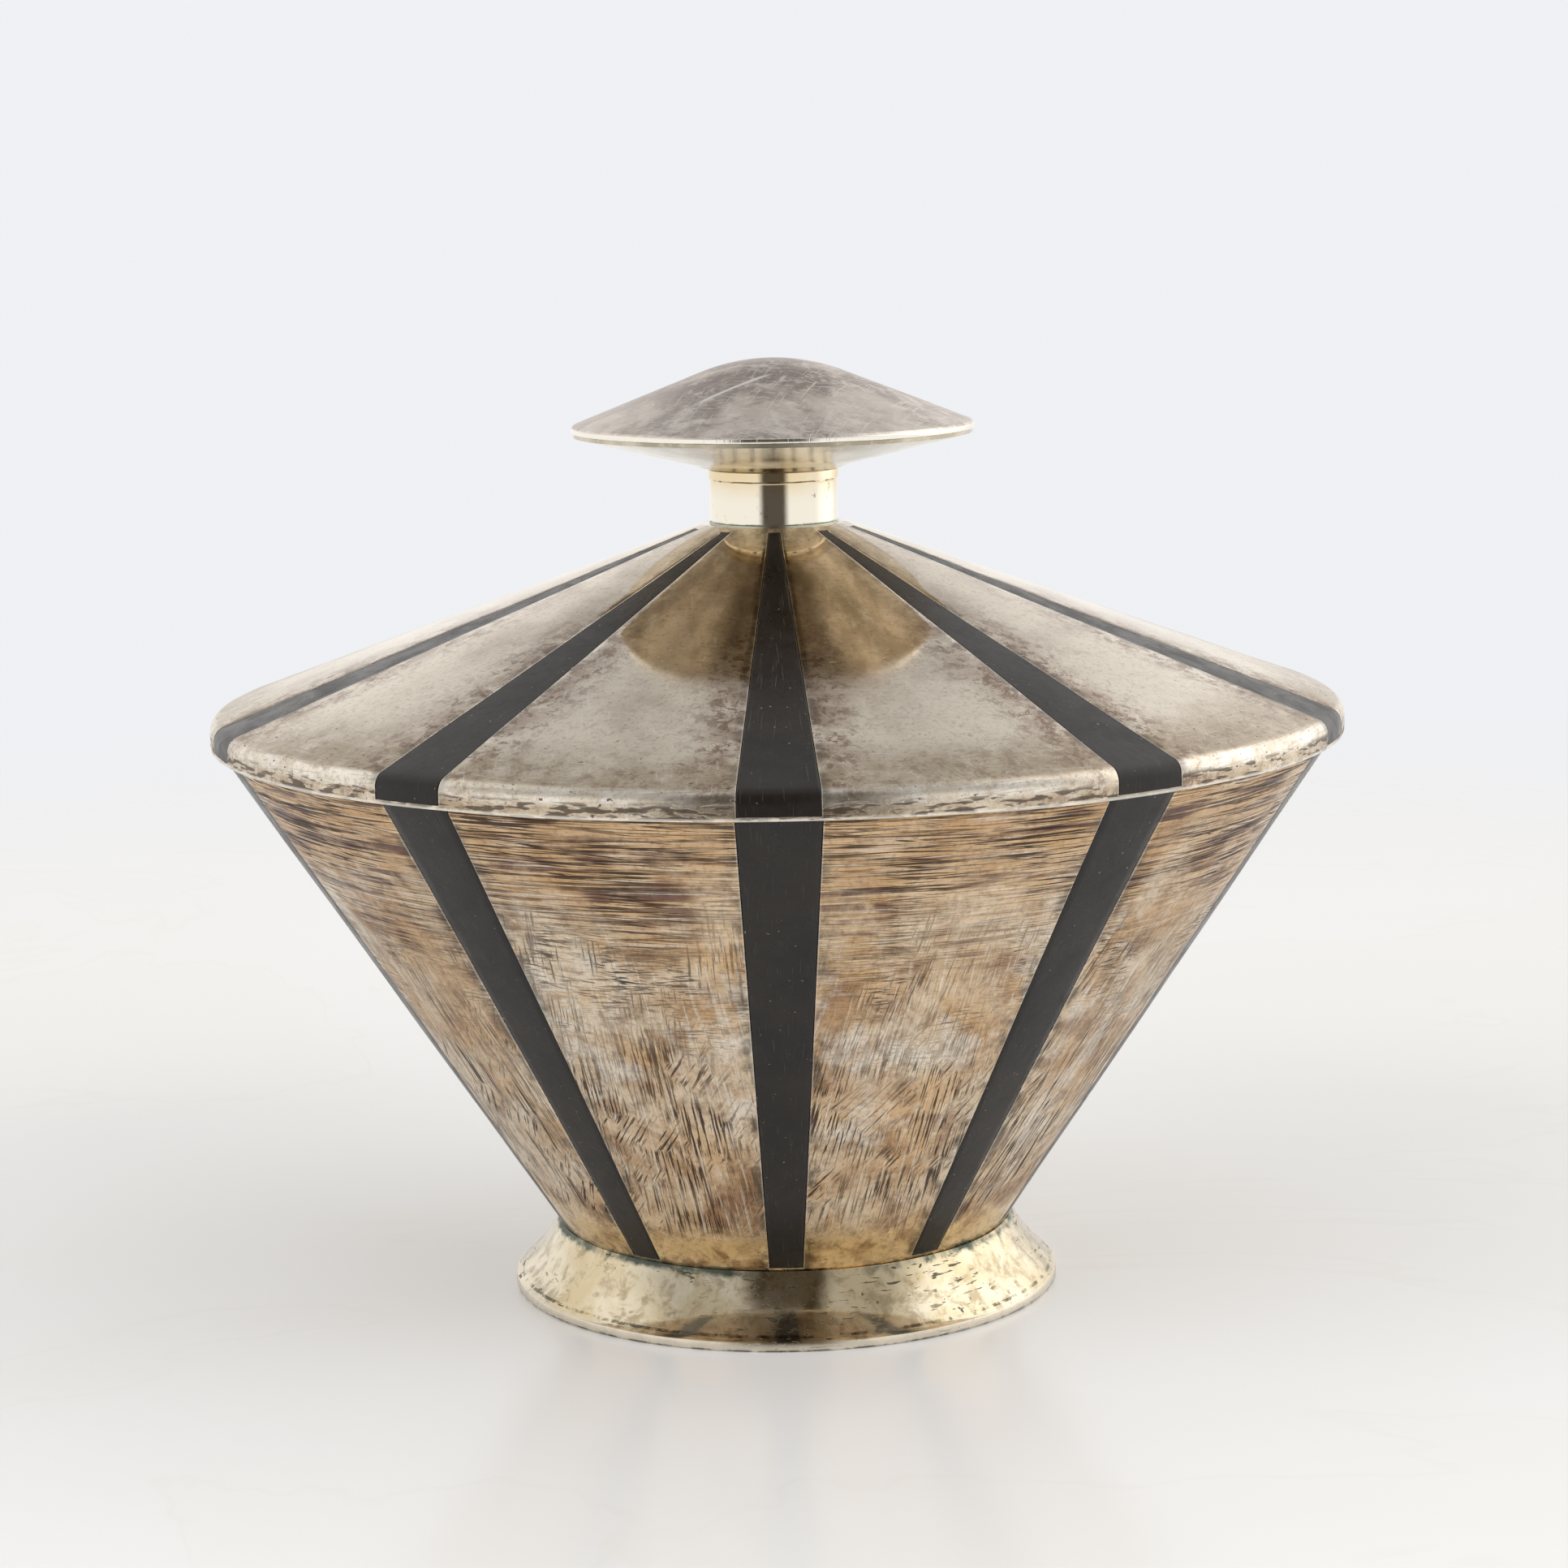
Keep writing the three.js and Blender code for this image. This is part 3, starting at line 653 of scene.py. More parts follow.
def footSilver(look, shape):
    material, tree, shader = newMaterial("footSilver", look["finish"])
    where = whereRound(tree, 0.0)
    spot = where["spot"]
    z = where["height"]
    big = cloud(tree, spot, 9 * mm, 41.0, 5.0, 0.65, 0.6)
    small = cloud(tree, spot, 2.0 * mm, 42.0, 5.0, 0.65, 0.5)
    color = blend(tree, ease(tree, big, 0.38, 0.64), look["gold"], look["pale"])
    color = blend(tree, ease(tree, small, 0.46, 0.64, 0.0, 0.7), color, look["olive"])
    where["along"] = product(tree, z, 1.3)
    lines = strokeSets(tree, where, look["strokes"])
    patchy = ease(tree, cloud(tree, spot, 8 * mm, 45.0, 2.0), 0.38, 0.54)
    pits = product(tree, most(tree, lines["pits"], lines["dots"]), patchy)
    color = tint(tree, color, look["dark"], pits, 0.85)
    # dirt where the bowl sits on the foot
    ragged = timesPlus(tree, small, 1.6 * mm, z)
    dirt = ease(tree, ragged, shape["topZ"] - 0.1 * mm, shape["topZ"] + 0.5 * mm)
    dirt = product(tree, dirt, ease(tree, big, 0.40, 0.55))
    color = tint(tree, color, look["verdigris"], dirt, 0.9)
    # the upright edge is rubbed, with dark lines over and under it
    rim = ease(tree, z, shape["edgeHeight"] + 0.2 * mm, shape["edgeHeight"] - 0.1 * mm)
    color = tint(tree, color, look["worn"], rim, 0.7)
    overRim = calc(tree, "COMPARE", z, shape["edgeHeight"] + 0.45 * mm, 0.12 * mm)
    underRim = ease(tree, z, 0.30 * mm, 0.12 * mm)
    rimLines = product(tree, most(tree, overRim, underRim), ease(tree, small, 0.42, 0.58))
    color = tint(tree, color, look["dark"], rimLines, 0.8)
    rough = ease(tree, big, 0.30, 0.70, 0.06, 0.14)
    rough = timesPlus(tree, most(tree, pits, dirt), 0.35, rough)
    rough = timesPlus(tree, rim, 0.15, rough)
    relief = timesPlus(tree, pits, -1.0, product(tree, small, 0.3))
    coat(tree, shader, color, rough, relief, 0.012 * mm)
    return material


stemLook = {
    "finish": {"Metallic": 1.0},
    "silver": (0.90, 0.85, 0.74, 1), "gold": (0.80, 0.66, 0.42, 1), "stain": (0.30, 0.20, 0.12, 1),
    "verdigris": (0.10, 0.20, 0.14, 1),
}


def stemSilver(look, shape):
    material, tree, shader = newMaterial("stemSilver", look["finish"])
    where = whereRound(tree, 0.0)
    spot = where["spot"]
    big = cloud(tree, spot, 5 * mm, 51.0, 4.0, 0.6, 0.6)
    small = cloud(tree, spot, 1.2 * mm, 52.0, 4.0, 0.65, 0.4)
    high = ease(tree, where["height"], shape["baseZ"] + 2.2 * mm, shape["topZ"] - 0.4 * mm)
    onTube = ease(tree, where["radius"], shape["radius"] + 1.6 * mm, shape["radius"] + 0.6 * mm)
    high = product(tree, high, onTube)
    goldShare = product(tree, high, ease(tree, big, 0.30, 0.60, 0.4, 1.0))
    color = blend(tree, goldShare, look["silver"], look["gold"])
    color = blend(tree, ease(tree, small, 0.60, 0.74, 0.0, 0.7), color, look["stain"])
    base = timesPlus(tree, small, 0.5 * mm, where["height"])
    green = ease(tree, base, shape["baseZ"] + 0.65 * mm, shape["baseZ"] + 0.35 * mm)
    green = product(tree, green, ease(tree, where["radius"], 6.9 * mm, 6.8 * mm))
    color = tint(tree, color, look["verdigris"], green, 0.85)
    rough = ease(tree, big, 0.30, 0.70, 0.05, 0.10)
    rough = timesPlus(tree, green, 0.4, rough)
    coat(tree, shader, color, rough, calc(tree, "ADD", small, big), 0.004 * mm)
    return material


knobLook = {
    "finish": {"Metallic": 1.0},
    "grey": (0.64, 0.56, 0.49, 1), "mauve": (0.34, 0.27, 0.24, 1), "pale": (0.86, 0.79, 0.72, 1),
    "scratch": (0.94, 0.90, 0.84, 1), "paintedHighlight": (0.92, 0.88, 0.80, 1),
    "creaseHighlight": {"x": -4.0 * mm, "y": -9.5 * mm, "turn": 30, "length": 11 * mm, "width": 0.40 * mm},
    "strokes": {
        "scratches": [(18, 6.0, 0.26, 63.0, 0.59, 0.67), (-35, 4.5, 0.24, 64.0, 0.59, 0.67),
                      (70, 5.0, 0.24, 65.0, 0.59, 0.67), (-8, 2.2, 0.36, 66.0, 0.59, 0.67)],
    },
}


def knobSilver(look, shape):
    material, tree, shader = newMaterial("knobSilver", look["finish"])
    where = whereRound(tree, 0.0)
    spot = where["spot"]
    big = cloud(tree, spot, 9 * mm, 61.0, 5.0, 0.6, 0.4)
    small = cloud(tree, spot, 2.6 * mm, 62.0, 6.0, 0.75, 0.3)
    color = blend(tree, ease(tree, big, 0.42, 0.56), look["grey"], look["mauve"])
    color = blend(tree, ease(tree, small, 0.50, 0.62, 0.0, 0.6), color, look["pale"])
    outer = ease(tree, where["radius"], 0.45 * shape["radius"], 0.98 * shape["radius"])
    color = blend(tree, product(tree, outer, ease(tree, small, 0.35, 0.60, 0.1, 0.6)), color, look["pale"])
    # fine scratches, mostly to the right and low at the front
    flat = {"across": where["x"], "along": where["y"], "panel": 0.0}
    scratches = strokeSets(tree, flat, look["strokes"])["scratches"]
    crowded = ease(tree, calc(tree, "SUBTRACT", where["x"], where["y"]), -12 * mm, 20 * mm, 0.3, 1.0)
    scratches = product(tree, scratches, crowded, ease(tree, big, 0.35, 0.60, 0.4, 1.0))
    color = tint(tree, color, look["scratch"], scratches, 0.65)
    # painted highlight of one long crease across the front
    creaseHighlight = look["creaseHighlight"]
    c, d = cos(radians(creaseHighlight["turn"])), sin(radians(creaseHighlight["turn"]))
    shiftX = calc(tree, "SUBTRACT", where["x"], creaseHighlight["x"])
    shiftY = calc(tree, "SUBTRACT", where["y"], creaseHighlight["y"])
    forward = timesPlus(tree, shiftX, c, product(tree, shiftY, d))
    sideways = timesPlus(tree, shiftY, c, product(tree, shiftX, -d))
    creaseHighlightShare = product(tree, ease(tree, calc(tree, "ABSOLUTE", sideways), creaseHighlight["width"], 0.0),
                      ease(tree, calc(tree, "ABSOLUTE", forward), creaseHighlight["length"] / 2, creaseHighlight["length"] / 4))
    color = blend(tree, creaseHighlightShare, color, look["scratch"])
    scratches = most(tree, scratches, creaseHighlightShare)
    # painted highlight on the bevel just above the lip
    lip = ease(tree, where["height"], shape["seamZ"] + 0.75 * mm, shape["seamZ"] + 0.55 * mm)
    color = blend(tree, lip, color, look["paintedHighlight"])
    rough = ease(tree, small, 0.30, 0.70, 0.26, 0.40)
    rough = timesPlus(tree, lip, -0.20, rough)
    relief = timesPlus(tree, scratches, -0.4, product(tree, small, 0.5))
    coat(tree, shader, color, rough, relief, 0.02 * mm)
    return material


dishLook = {
    "finish": {"Metallic": 1.0},
    "dull": (0.64, 0.58, 0.47, 1), "brown": (0.42, 0.37, 0.28, 1), "pale": (0.70, 0.66, 0.57, 1),
}


def dishSilver(look):
    material, tree, shader = newMaterial("dishSilver", look["finish"])
    spot = ownSpot(tree)
    big = cloud(tree, spot, 6 * mm, 55.0, 5.0, 0.6, 0.4)
    small = cloud(tree, spot, 1.5 * mm, 56.0, 5.0, 0.7, 0.3)
    color = blend(tree, ease(tree, big, 0.40, 0.62), look["dull"], look["brown"])
    color = blend(tree, ease(tree, small, 0.52, 0.66, 0.0, 0.6), color, look["pale"])
    # a dull face that turns glossy at a low angle
    slant = addNode(tree, "ShaderNodeLayerWeight", {"Blend": 0.5}).outputs["Facing"]
    rough = ease(tree, slant, 0.35, 0.80, 0.30, 0.09)
    rough = timesPlus(tree, big, 0.08, rough)
    coat(tree, shader, color, rough, calc(tree, "ADD", small, big), 0.008 * mm)
    return material


brassLook = {
    "finish": {"Metallic": 1.0},
    "brass": (0.62, 0.44, 0.20, 1), "brown": (0.22, 0.14, 0.07, 1),
}


def agedBrass(look):
    material, tree, shader = newMaterial("agedBrass", look["finish"])
    spot = ownSpot(tree)
    big = cloud(tree, spot, 1.5 * mm, 71.0, 5.0, 0.6, 0.4)
    fine = cloud(tree, spot, 0.3 * mm, 72.0, 3.0, 0.6)
    color = blend(tree, ease(tree, big, 0.42, 0.66), look["brass"], look["brown"])
    rough = ease(tree, fine, 0.30, 0.70, 0.25, 0.50)
    coat(tree, shader, color, rough, fine, 0.02 * mm)
    return material


# boxes of the CAD parts that the pieces stand for

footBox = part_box("foot_ring")
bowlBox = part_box("bowl_shell")
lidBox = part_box("lid_shell")
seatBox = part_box("lid_flange")
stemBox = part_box("stem_tube")
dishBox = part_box("knob_underside")
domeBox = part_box("knob_top")
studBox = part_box("knob_stud")
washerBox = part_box("knob_washer")
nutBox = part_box("knob_nut")


# foot: a flared ring with a thin upright edge

foot = {
    "radius": footBox[1].x, "topZ": bowlBox[0].z, "topRadius": 24.5 * mm,
    "edgeHeight": 1.0 * mm, "bendRadius": 26.5 * mm, "bendHeight": 3.4 * mm,
    "wall": 1.3 * mm, "steps": 14, "columns": 160,
}


def makeFoot(foot):
    def flare(share, inset):
        # the curve bends once, between the edge and the top
        a, b, c = (1 - share) ** 2, 2 * share * (1 - share), share ** 2
        radius = a * foot["radius"] + b * foot["bendRadius"] + c * foot["topRadius"]
        height = a * foot["edgeHeight"] + b * foot["bendHeight"] + c * foot["topZ"]
        return (radius - inset, height, 0, 0)
    radius, wall, edge = foot["radius"], foot["wall"], foot["edgeHeight"]
    shares = [i / foot["steps"] for i in range(foot["steps"] + 1)]
    outline = [(radius - wall, 0.15 * mm, 0, 0)]
    outline += corner((radius - wall, edge), (radius - wall, 0), (radius, 0), 0.15 * mm, 2)[1:]
    outline += corner((radius - wall, 0), (radius, 0), (radius, edge), 0.2 * mm, 3)
    outline += [(radius, edge - 0.15 * mm, 0, 0), (radius - 0.05 * mm, edge - 0.03 * mm, 0, 0)]
    outline += [flare(share, 0.12 * mm * (1 - share)) for share in shares]
    outline += [flare(share, wall) for share in reversed(shares)]
    outline += [outline[0]]
    material = footSilver(footLook, foot)
    piece = makeTurned("foot", outline, foot["columns"], material)
    settle(piece, "bowl", "foot_silver", "foot_ring")


makeFoot(foot)


# bowl: a cone on the foot, with ten grooves for the enamel

bowl = {
    "baseZ": bowlBox[0].z, "rimZ": bowlBox[1].z, "rimRadius": bowlBox[1].x, "baseRadius": 24.4 * mm,
    "wall": 1.4 * mm, "grooveDepth": 0.7 * mm, "stripeHalfAngle": radians(3.95), "stripeStart": 0.4 * mm,
    "insideCorner": 6.0 * mm, "chamfer": 0.16 * mm, "rows": 46, "panelColumns": 7,
    "enamelSink": 0.04 * mm, "enamelEdge": 0.12 * mm,
}


def coneOfBowl(bowl):
    rise = bowl["rimZ"] - bowl["baseZ"]
    spread = bowl["rimRadius"] - bowl["baseRadius"]
    slant = hypot(rise, spread)
    out = (rise / slant, -spread / slant)

    def at(z, depth=0.0):
        radius = bowl["baseRadius"] + spread * (z - bowl["baseZ"]) / rise
        return (radius - depth * slant / rise, z)
    return at, out


def makeBowl(bowl, material):
    at, out = coneOfBowl(bowl)
    base, rim, wall = bowl["baseZ"], bowl["rimZ"], bowl["wall"]
    sink = (-out[0] * bowl["grooveDepth"], -out[1] * bowl["grooveDepth"])
    start = at(base + bowl["stripeStart"])
    floorZ = base + wall
    insideBase, insideRim = at(floorZ, wall), at(rim, wall)
    outline = [(0, base, 0, 0), (bowl["baseRadius"] - 3 * mm, base, 0, 0)]
    outline += corner((0, base), (bowl["baseRadius"], base), at(rim), 0.12 * mm, 2)
    outline += [(start[0], start[1], 0, 0)]
    outline += run(start, at(rim - 0.25 * mm), bowl["rows"], sink)
    rimCorner = corner(at(base), at(rim), insideRim, 0.22 * mm, 3)
    outline += [(x, z, *sink) for x, z, *level in rimCorner]
    outline += corner(at(rim), insideRim, insideBase, 0.35 * mm, 3)
    inner = corner(insideRim, insideBase, (0, floorZ), bowl["insideCorner"], 8)
    outline += run(insideRim, inner[0][:2], bowl["rows"] // 2)[1:-1]
    outline += inner
    outline += run(inner[-1][:2], (0, floorZ), 5)[1:]
    plan = groovePlan(bowl["stripeHalfAngle"], bowl["chamfer"], bowl["panelColumns"])
    piece = makeStriped("bowlBody", turning, outline, plan, bowlWobble, material)
    settle(piece, "bowl", "bowl_silver", "bowl_shell")


def makeBowlEnamel(bowl, material):
    at, out = coneOfBowl(bowl)
    low, high = bowl["baseZ"] + bowl["stripeStart"], bowl["rimZ"] - 0.02 * mm
    top, depth = bowl["enamelSink"], bowl["grooveDepth"] - 0.05 * mm
    sink = (-out[0] * (depth - top), -out[1] * (depth - top))
    first, last = at(low + 0.02 * mm, top), at(high, top)
    outline = [(first[0] + sink[0], first[1] + sink[1], 0, 0)]
    outline += run(first, last, bowl["rows"], sink)
    outline += [(x + a, z + b, 0, 0) for x, z, a, b in reversed(outline[1:])]
    plan = inlayPlan(bowl["stripeHalfAngle"], bowl["enamelEdge"])
    piece = makeStriped("bowlEnamel", inlaying, outline, plan, bowlWobble, material)
    settle(piece, "bowl", "black_enamel", *[f"bowl_stripe_{i + 1:02d}" for i in range(stripeCount)])


makeBowl(bowl, bowlSilver(bowlLook, bowl))
makeBowlEnamel(bowl, blackEnamel(enamelLook, "bowlBlackEnamel", bowl["stripeHalfAngle"]))


# lid: a shallow cone, a rounded shoulder and an upright edge

lid = {
    "edgeZ": lidBox[0].z - 0.2 * mm, "padZ": lidBox[1].z, "radius": lidBox[1].x, "bandHeight": 1.6 * mm,
    "shoulder": 1.6 * mm, "padRadius": 7.6 * mm, "holeRadius": 1.6 * mm, "wall": 1.4 * mm,
    "grooveDepth": 0.7 * mm, "stripeHalfAngle": radians(3.75), "stripeStart": 0.45 * mm,
    "tipRadius": 8.6 * mm, "chamfer": 0.14 * mm, "rows": 50, "panelColumns": 8, "shoulderSteps": 8,
    "enamelSink": 0.04 * mm, "enamelEdge": 0.10 * mm,
}


def lidLine(lid, depth, start, tip, rows):
    # the lid's outside at a depth, from its edge over the shoulder and up the cone: (radius, height, out)
    centre = (lid["radius"] - lid["shoulder"], lid["edgeZ"] + lid["bandHeight"])
    reach = (centre[0] - lid["padRadius"], lid["padZ"] - centre[1])
    pitch = atan2(reach[1], reach[0]) - asin(lid["shoulder"] / hypot(*reach))
    coneOut = (sin(pitch), cos(pitch))
    line = [(lid["radius"] - depth, start, (1, 0)), (lid["radius"] - depth, centre[1], (1, 0))]
    bend = lid["shoulder"] - depth
    for i in range(1, lid["shoulderSteps"] + 1):
        angle = (pi / 2 - pitch) * i / lid["shoulderSteps"]
        way = (cos(angle), sin(angle))
        line.append((centre[0] + bend * way[0], centre[1] + bend * way[1], way))
    coneFoot = line[-1]
    tipHeight = lid["padZ"] - (tip - lid["padRadius"]) * tan(pitch)
    end = (tip - depth * coneOut[0], tipHeight - depth * coneOut[1])
    line += [(x, z, coneOut) for x, z, *sink in run(coneFoot[:2], end, rows)[1:]]
    return line, pitch


def makeLid(lid, material):
    deep, wall = lid["grooveDepth"], lid["wall"]
    line, pitch = lidLine(lid, 0, lid["edgeZ"] + lid["stripeStart"], lid["tipRadius"], lid["rows"])
    inner = lidLine(lid, wall, lid["edgeZ"], lid["padRadius"] + 1 * mm, lid["rows"] // 2)[0]
    edge, radius, pad = lid["edgeZ"], lid["radius"], lid["padZ"]
    outline = corner((radius - wall, edge), (radius, edge), (radius, pad), 0.12 * mm, 2)
    outline += [(radius, line[0][1], 0, 0)]
    outline += [(x, z, -way[0] * deep, -way[1] * deep) for x, z, way in line]
    outline += [(line[-1][0], line[-1][1], 0, 0)]
    outline += corner(line[-1][:2], (lid["padRadius"], pad), (0, pad), 0.25 * mm, 3)
    outline += [(lid["holeRadius"], pad, 0, 0), (lid["holeRadius"], pad - wall, 0, 0)]
    outline += [(lid["padRadius"] - wall * tan(pitch / 2), pad - wall, 0, 0)]
    outline += [(x, z, 0, 0) for x, z, way in reversed(inner)]
    outline += [outline[0]]
    plan = groovePlan(lid["stripeHalfAngle"], lid["chamfer"], lid["panelColumns"])
    piece = makeStriped("lidBody", turning, outline, plan, lidWobble, material)
    settle(piece, "lid", "lid_silver", "lid_shell")


def makeLidEnamel(lid, material):
    top, deep = lid["enamelSink"], lid["grooveDepth"] - 0.05 * mm
    start = lid["edgeZ"] + lid["stripeStart"] + 0.02 * mm
    line = lidLine(lid, top, start, lid["tipRadius"], lid["rows"])[0]
    thick = deep - top
    first = line[0]
    outline = [(first[0] - thick, first[1], 0, 0)]
    outline += [(x, z, -way[0] * thick, -way[1] * thick) for x, z, way in line]
    outline += [(x + a, z + b, 0, 0) for x, z, a, b in reversed(outline[1:])]
    plan = inlayPlan(lid["stripeHalfAngle"], lid["enamelEdge"])
    piece = makeStriped("lidEnamel", inlaying, outline, plan, lidWobble, material)
    settle(piece, "lid", "black_enamel", *[f"lid_stripe_{i + 1:02d}" for i in range(stripeCount)])


lidMetal = lidSilver(lidLook, lid)
makeLid(lid, lidMetal)
makeLidEnamel(lid, blackEnamel(enamelLook, "lidBlackEnamel", lid["stripeHalfAngle"]))


# locating ring under the lid

seat = {
    "topZ": seatBox[1].z, "bottomZ": seatBox[0].z, "outer": seatBox[1].x,
    "skirtRadius": 54.4 * mm, "skirtWall": 1.2 * mm, "flangeThickness": 1.0 * mm, "columns": 160,
}


def makeSeat(seat, material):
    inner, skirt = seat["skirtRadius"] - seat["skirtWall"], seat["skirtRadius"]
    low, high, step = seat["bottomZ"], seat["topZ"], seat["topZ"] - seat["flangeThickness"]
    outline = corner((inner, high), (inner, low), (skirt, low), 0.4 * mm, 4)
    outline += corner((inner, low), (skirt, low), (skirt, step), 0.4 * mm, 4)
    outline += corner((skirt, low), (skirt, step), (seat["outer"], step), 0.5 * mm, 4)
    outline += corner((skirt, step), (seat["outer"], step), (seat["outer"], high), 0.2 * mm, 3)
    outline += corner((seat["outer"], step), (seat["outer"], high), (inner, high), 0.2 * mm, 3)
    outline += corner((seat["outer"], high), (inner, high), (inner, low), 0.4 * mm, 4)
    outline += [outline[0]]
    piece = makeTurned("lidSeat", outline, seat["columns"], material)
    settle(piece, "lid", "lid_silver", "lid_flange")


makeSeat(seat, lidMetal)


# stem: a short tube with a collar under the knob

stem = {
    "baseZ": lidBox[1].z, "topZ": dishBox[0].z, "radius": stemBox[1].x, "wall": 0.85 * mm,
    "collarHeight": 1.3 * mm, "collarStand": 0.16 * mm, "columns": 96,
}


def makeStem(stem, material):
    radius, inner, base, top = stem["radius"], stem["radius"] - stem["wall"], stem["baseZ"], stem["topZ"]
    stand, collarZ = stem["collarStand"], stem["topZ"] - stem["collarHeight"]
    outline = [(inner, base, 0, 0), (radius + 0.10 * mm, base, 0, 0)]
    outline += [(radius + 0.10 * mm, base + 0.15 * mm, 0, 0)]
    outline += [(radius, base + 0.25 * mm, 0, 0), (radius, collarZ - 0.3 * mm, 0, 0)]
    collar = (radius + stand, collarZ + 0.1 * mm)
    outline += corner((radius, collarZ - 1 * mm), (radius, collarZ), collar, 0.08 * mm, 2)
    outline += [(radius + stand, collarZ + 0.15 * mm, 0, 0), (radius + stand, top - 0.25 * mm, 0, 0)]
    outline += [(radius + stand - 0.12 * mm, top - 0.08 * mm, 0, 0), (radius + stand - 0.12 * mm, top, 0, 0)]
    outline += [(inner, top, 0, 0), (inner, base, 0, 0)]
    piece = makeTurned("stem", outline, stem["columns"], material)
    settle(piece, "lid", "stem_silver", "stem_tube")


makeStem(stem, stemSilver(stemLook, stem))


# knob: a dish and a domed top that meet at a thin lip, with a painted highlight on the bevel above it

knob = {
    "baseZ": dishBox[0].z, "seamZ": dishBox[1].z, "topZ": domeBox[1].z, "radius": domeBox[1].x,
    "dishRadius": dishBox[1].x, "neckRadius": 7.6 * mm, "heelRadius": 8.3 * mm, "neckHeight": 0.3 * mm,
    "wall": 1.0 * mm, "holeRadius": 1.6 * mm, "crownRadius": 20.6 * mm, "lip": 0.45 * mm, "bevel": 0.3 * mm,
    "columns": 144, "steps": 14,
}


def makeDish(knob, material):
    base, seam, wall = knob["baseZ"], knob["seamZ"], knob["wall"]
    heel, edge = (knob["heelRadius"], base + knob["neckHeight"]), (knob["dishRadius"], seam - 0.3 * mm)
    outline = [(knob["holeRadius"], base, 0, 0)]
    outline += corner((0, base), (knob["neckRadius"], base), heel, 0.1 * mm, 2)
    outline += [(heel[0], heel[1], 0, 0)]
    outline += run(heel, edge, 12)[1:]
    outline += [(knob["dishRadius"], seam + 0.1 * mm, 0, 0)]
    outline += [(knob["dishRadius"] - 2 * wall, seam + 0.1 * mm, 0, 0)]
    outline += [(heel[0], heel[1] + wall, 0, 0), (knob["neckRadius"], base + wall, 0, 0)]
    outline += [(knob["holeRadius"], base + wall, 0, 0), (knob["holeRadius"], base, 0, 0)]
    piece = makeTurned("knobDish", outline, knob["columns"], material)
    settle(piece, "lid", "stem_silver", "knob_underside")


def makeDome(knob, material):
    lipZ, bevel, crown = knob["seamZ"] + 0.12 * mm, knob["bevel"], knob["crownRadius"]
    shoulderRadius, shoulderZ = knob["radius"] - bevel, lipZ + knob["lip"] + bevel
    centre = knob["topZ"] - crown
    rise = shoulderZ - centre
    pitch = asin(crown / hypot(shoulderRadius, rise)) - atan2(rise, shoulderRadius)
    touch = (crown * sin(pitch), centre + crown * cos(pitch))
    lipTop, shoulder = (knob["radius"], lipZ + knob["lip"]), (shoulderRadius, shoulderZ)
    outer = corner((knob["radius"], lipZ), lipTop, shoulder, 0.1 * mm, 2)
    outer += corner(lipTop, shoulder, touch, 0.15 * mm, 3)
    outer += run(outer[-1][:2], touch, knob["steps"])[1:]
    outer += arc(0, centre, crown, pi / 2 - pitch, pi / 2, knob["steps"])[1:]
    # the inside follows the outside from just past the lip
    wall = knob["wall"]
    inner = [(max(0, x - 0.3 * wall), z - wall, 0, 0) for x, z, *sink in reversed(outer[8:])]
    outline = [(knob["radius"] - 2 * wall, lipZ, 0, 0)]
    outline += corner((0, lipZ), (knob["radius"], lipZ), (knob["radius"], lipZ + 1 * mm), 0.08 * mm, 2)
    outline += outer + inner + [outline[0]]
    piece = makeTurned("knobDome", outline, knob["columns"], material)
    settle(piece, "lid", "knob_silver", "knob_top")


makeDish(knob, dishSilver(dishLook))
makeDome(knob, knobSilver(knobLook, knob))


# stud, washer and nut inside the knob and under the lid

fastening = {
    "studRadius": 1.25 * mm, "headRadius": studBox[1].x, "headHeight": 1.0 * mm, "headRound": 0.35 * mm,
    "threadPitch": 0.5 * mm, "threadDepth": 0.22 * mm, "threadTop": 81.5 * mm, "holeRadius": 1.6 * mm,
    "acrossFlats": 5.0 * mm, "columns": 48,
}


def makeStud(size, box, material):
    low, high = box[0].z, box[1].z
    neckZ = high - size["headHeight"]
    radius, head = size["studRadius"], size["headRadius"]
    outline = [(0, low, 0, 0), (radius - 0.3 * mm, low, 0, 0)]
    ridges = int((size["threadTop"] - low) / size["threadPitch"])
    for i in range(ridges):
        z = low + 0.2 * mm + i * size["threadPitch"]
        outline += [(radius - size["threadDepth"], z, 0, 0), (radius, z + 0.5 * size["threadPitch"], 0, 0)]
    outline += [(radius, size["threadTop"] + 0.5 * mm, 0, 0), (radius, neckZ, 0, 0)]
    outline += corner((0, neckZ), (head, neckZ), (head, high), 0.12 * mm, 2)
    outline += corner((head, neckZ), (head, high), (0, high), size["headRound"], 4)
    outline += [(0, high, 0, 0)]
    piece = makeTurned("knobStud", outline, size["columns"], material)
    settle(piece, "lid", "hardware_brass", "knob_stud")


def makeWasher(size, box, material):
    hole, edge, low, high = size["holeRadius"], box[1].x, box[0].z, box[1].z
    outline = corner((hole, high), (hole, low), (edge, low), 0.08 * mm, 2)
    outline += corner((hole, low), (edge, low), (edge, high), 0.12 * mm, 3)
    outline += corner((edge, low), (edge, high), (hole, high), 0.12 * mm, 3)
    outline += corner((edge, high), (hole, high), (hole, low), 0.08 * mm, 2)
    outline += [outline[0]]
    piece = makeTurned("knobWasher", outline, size["columns"], material)
    settle(piece, "lid", "hardware_brass", "knob_washer")


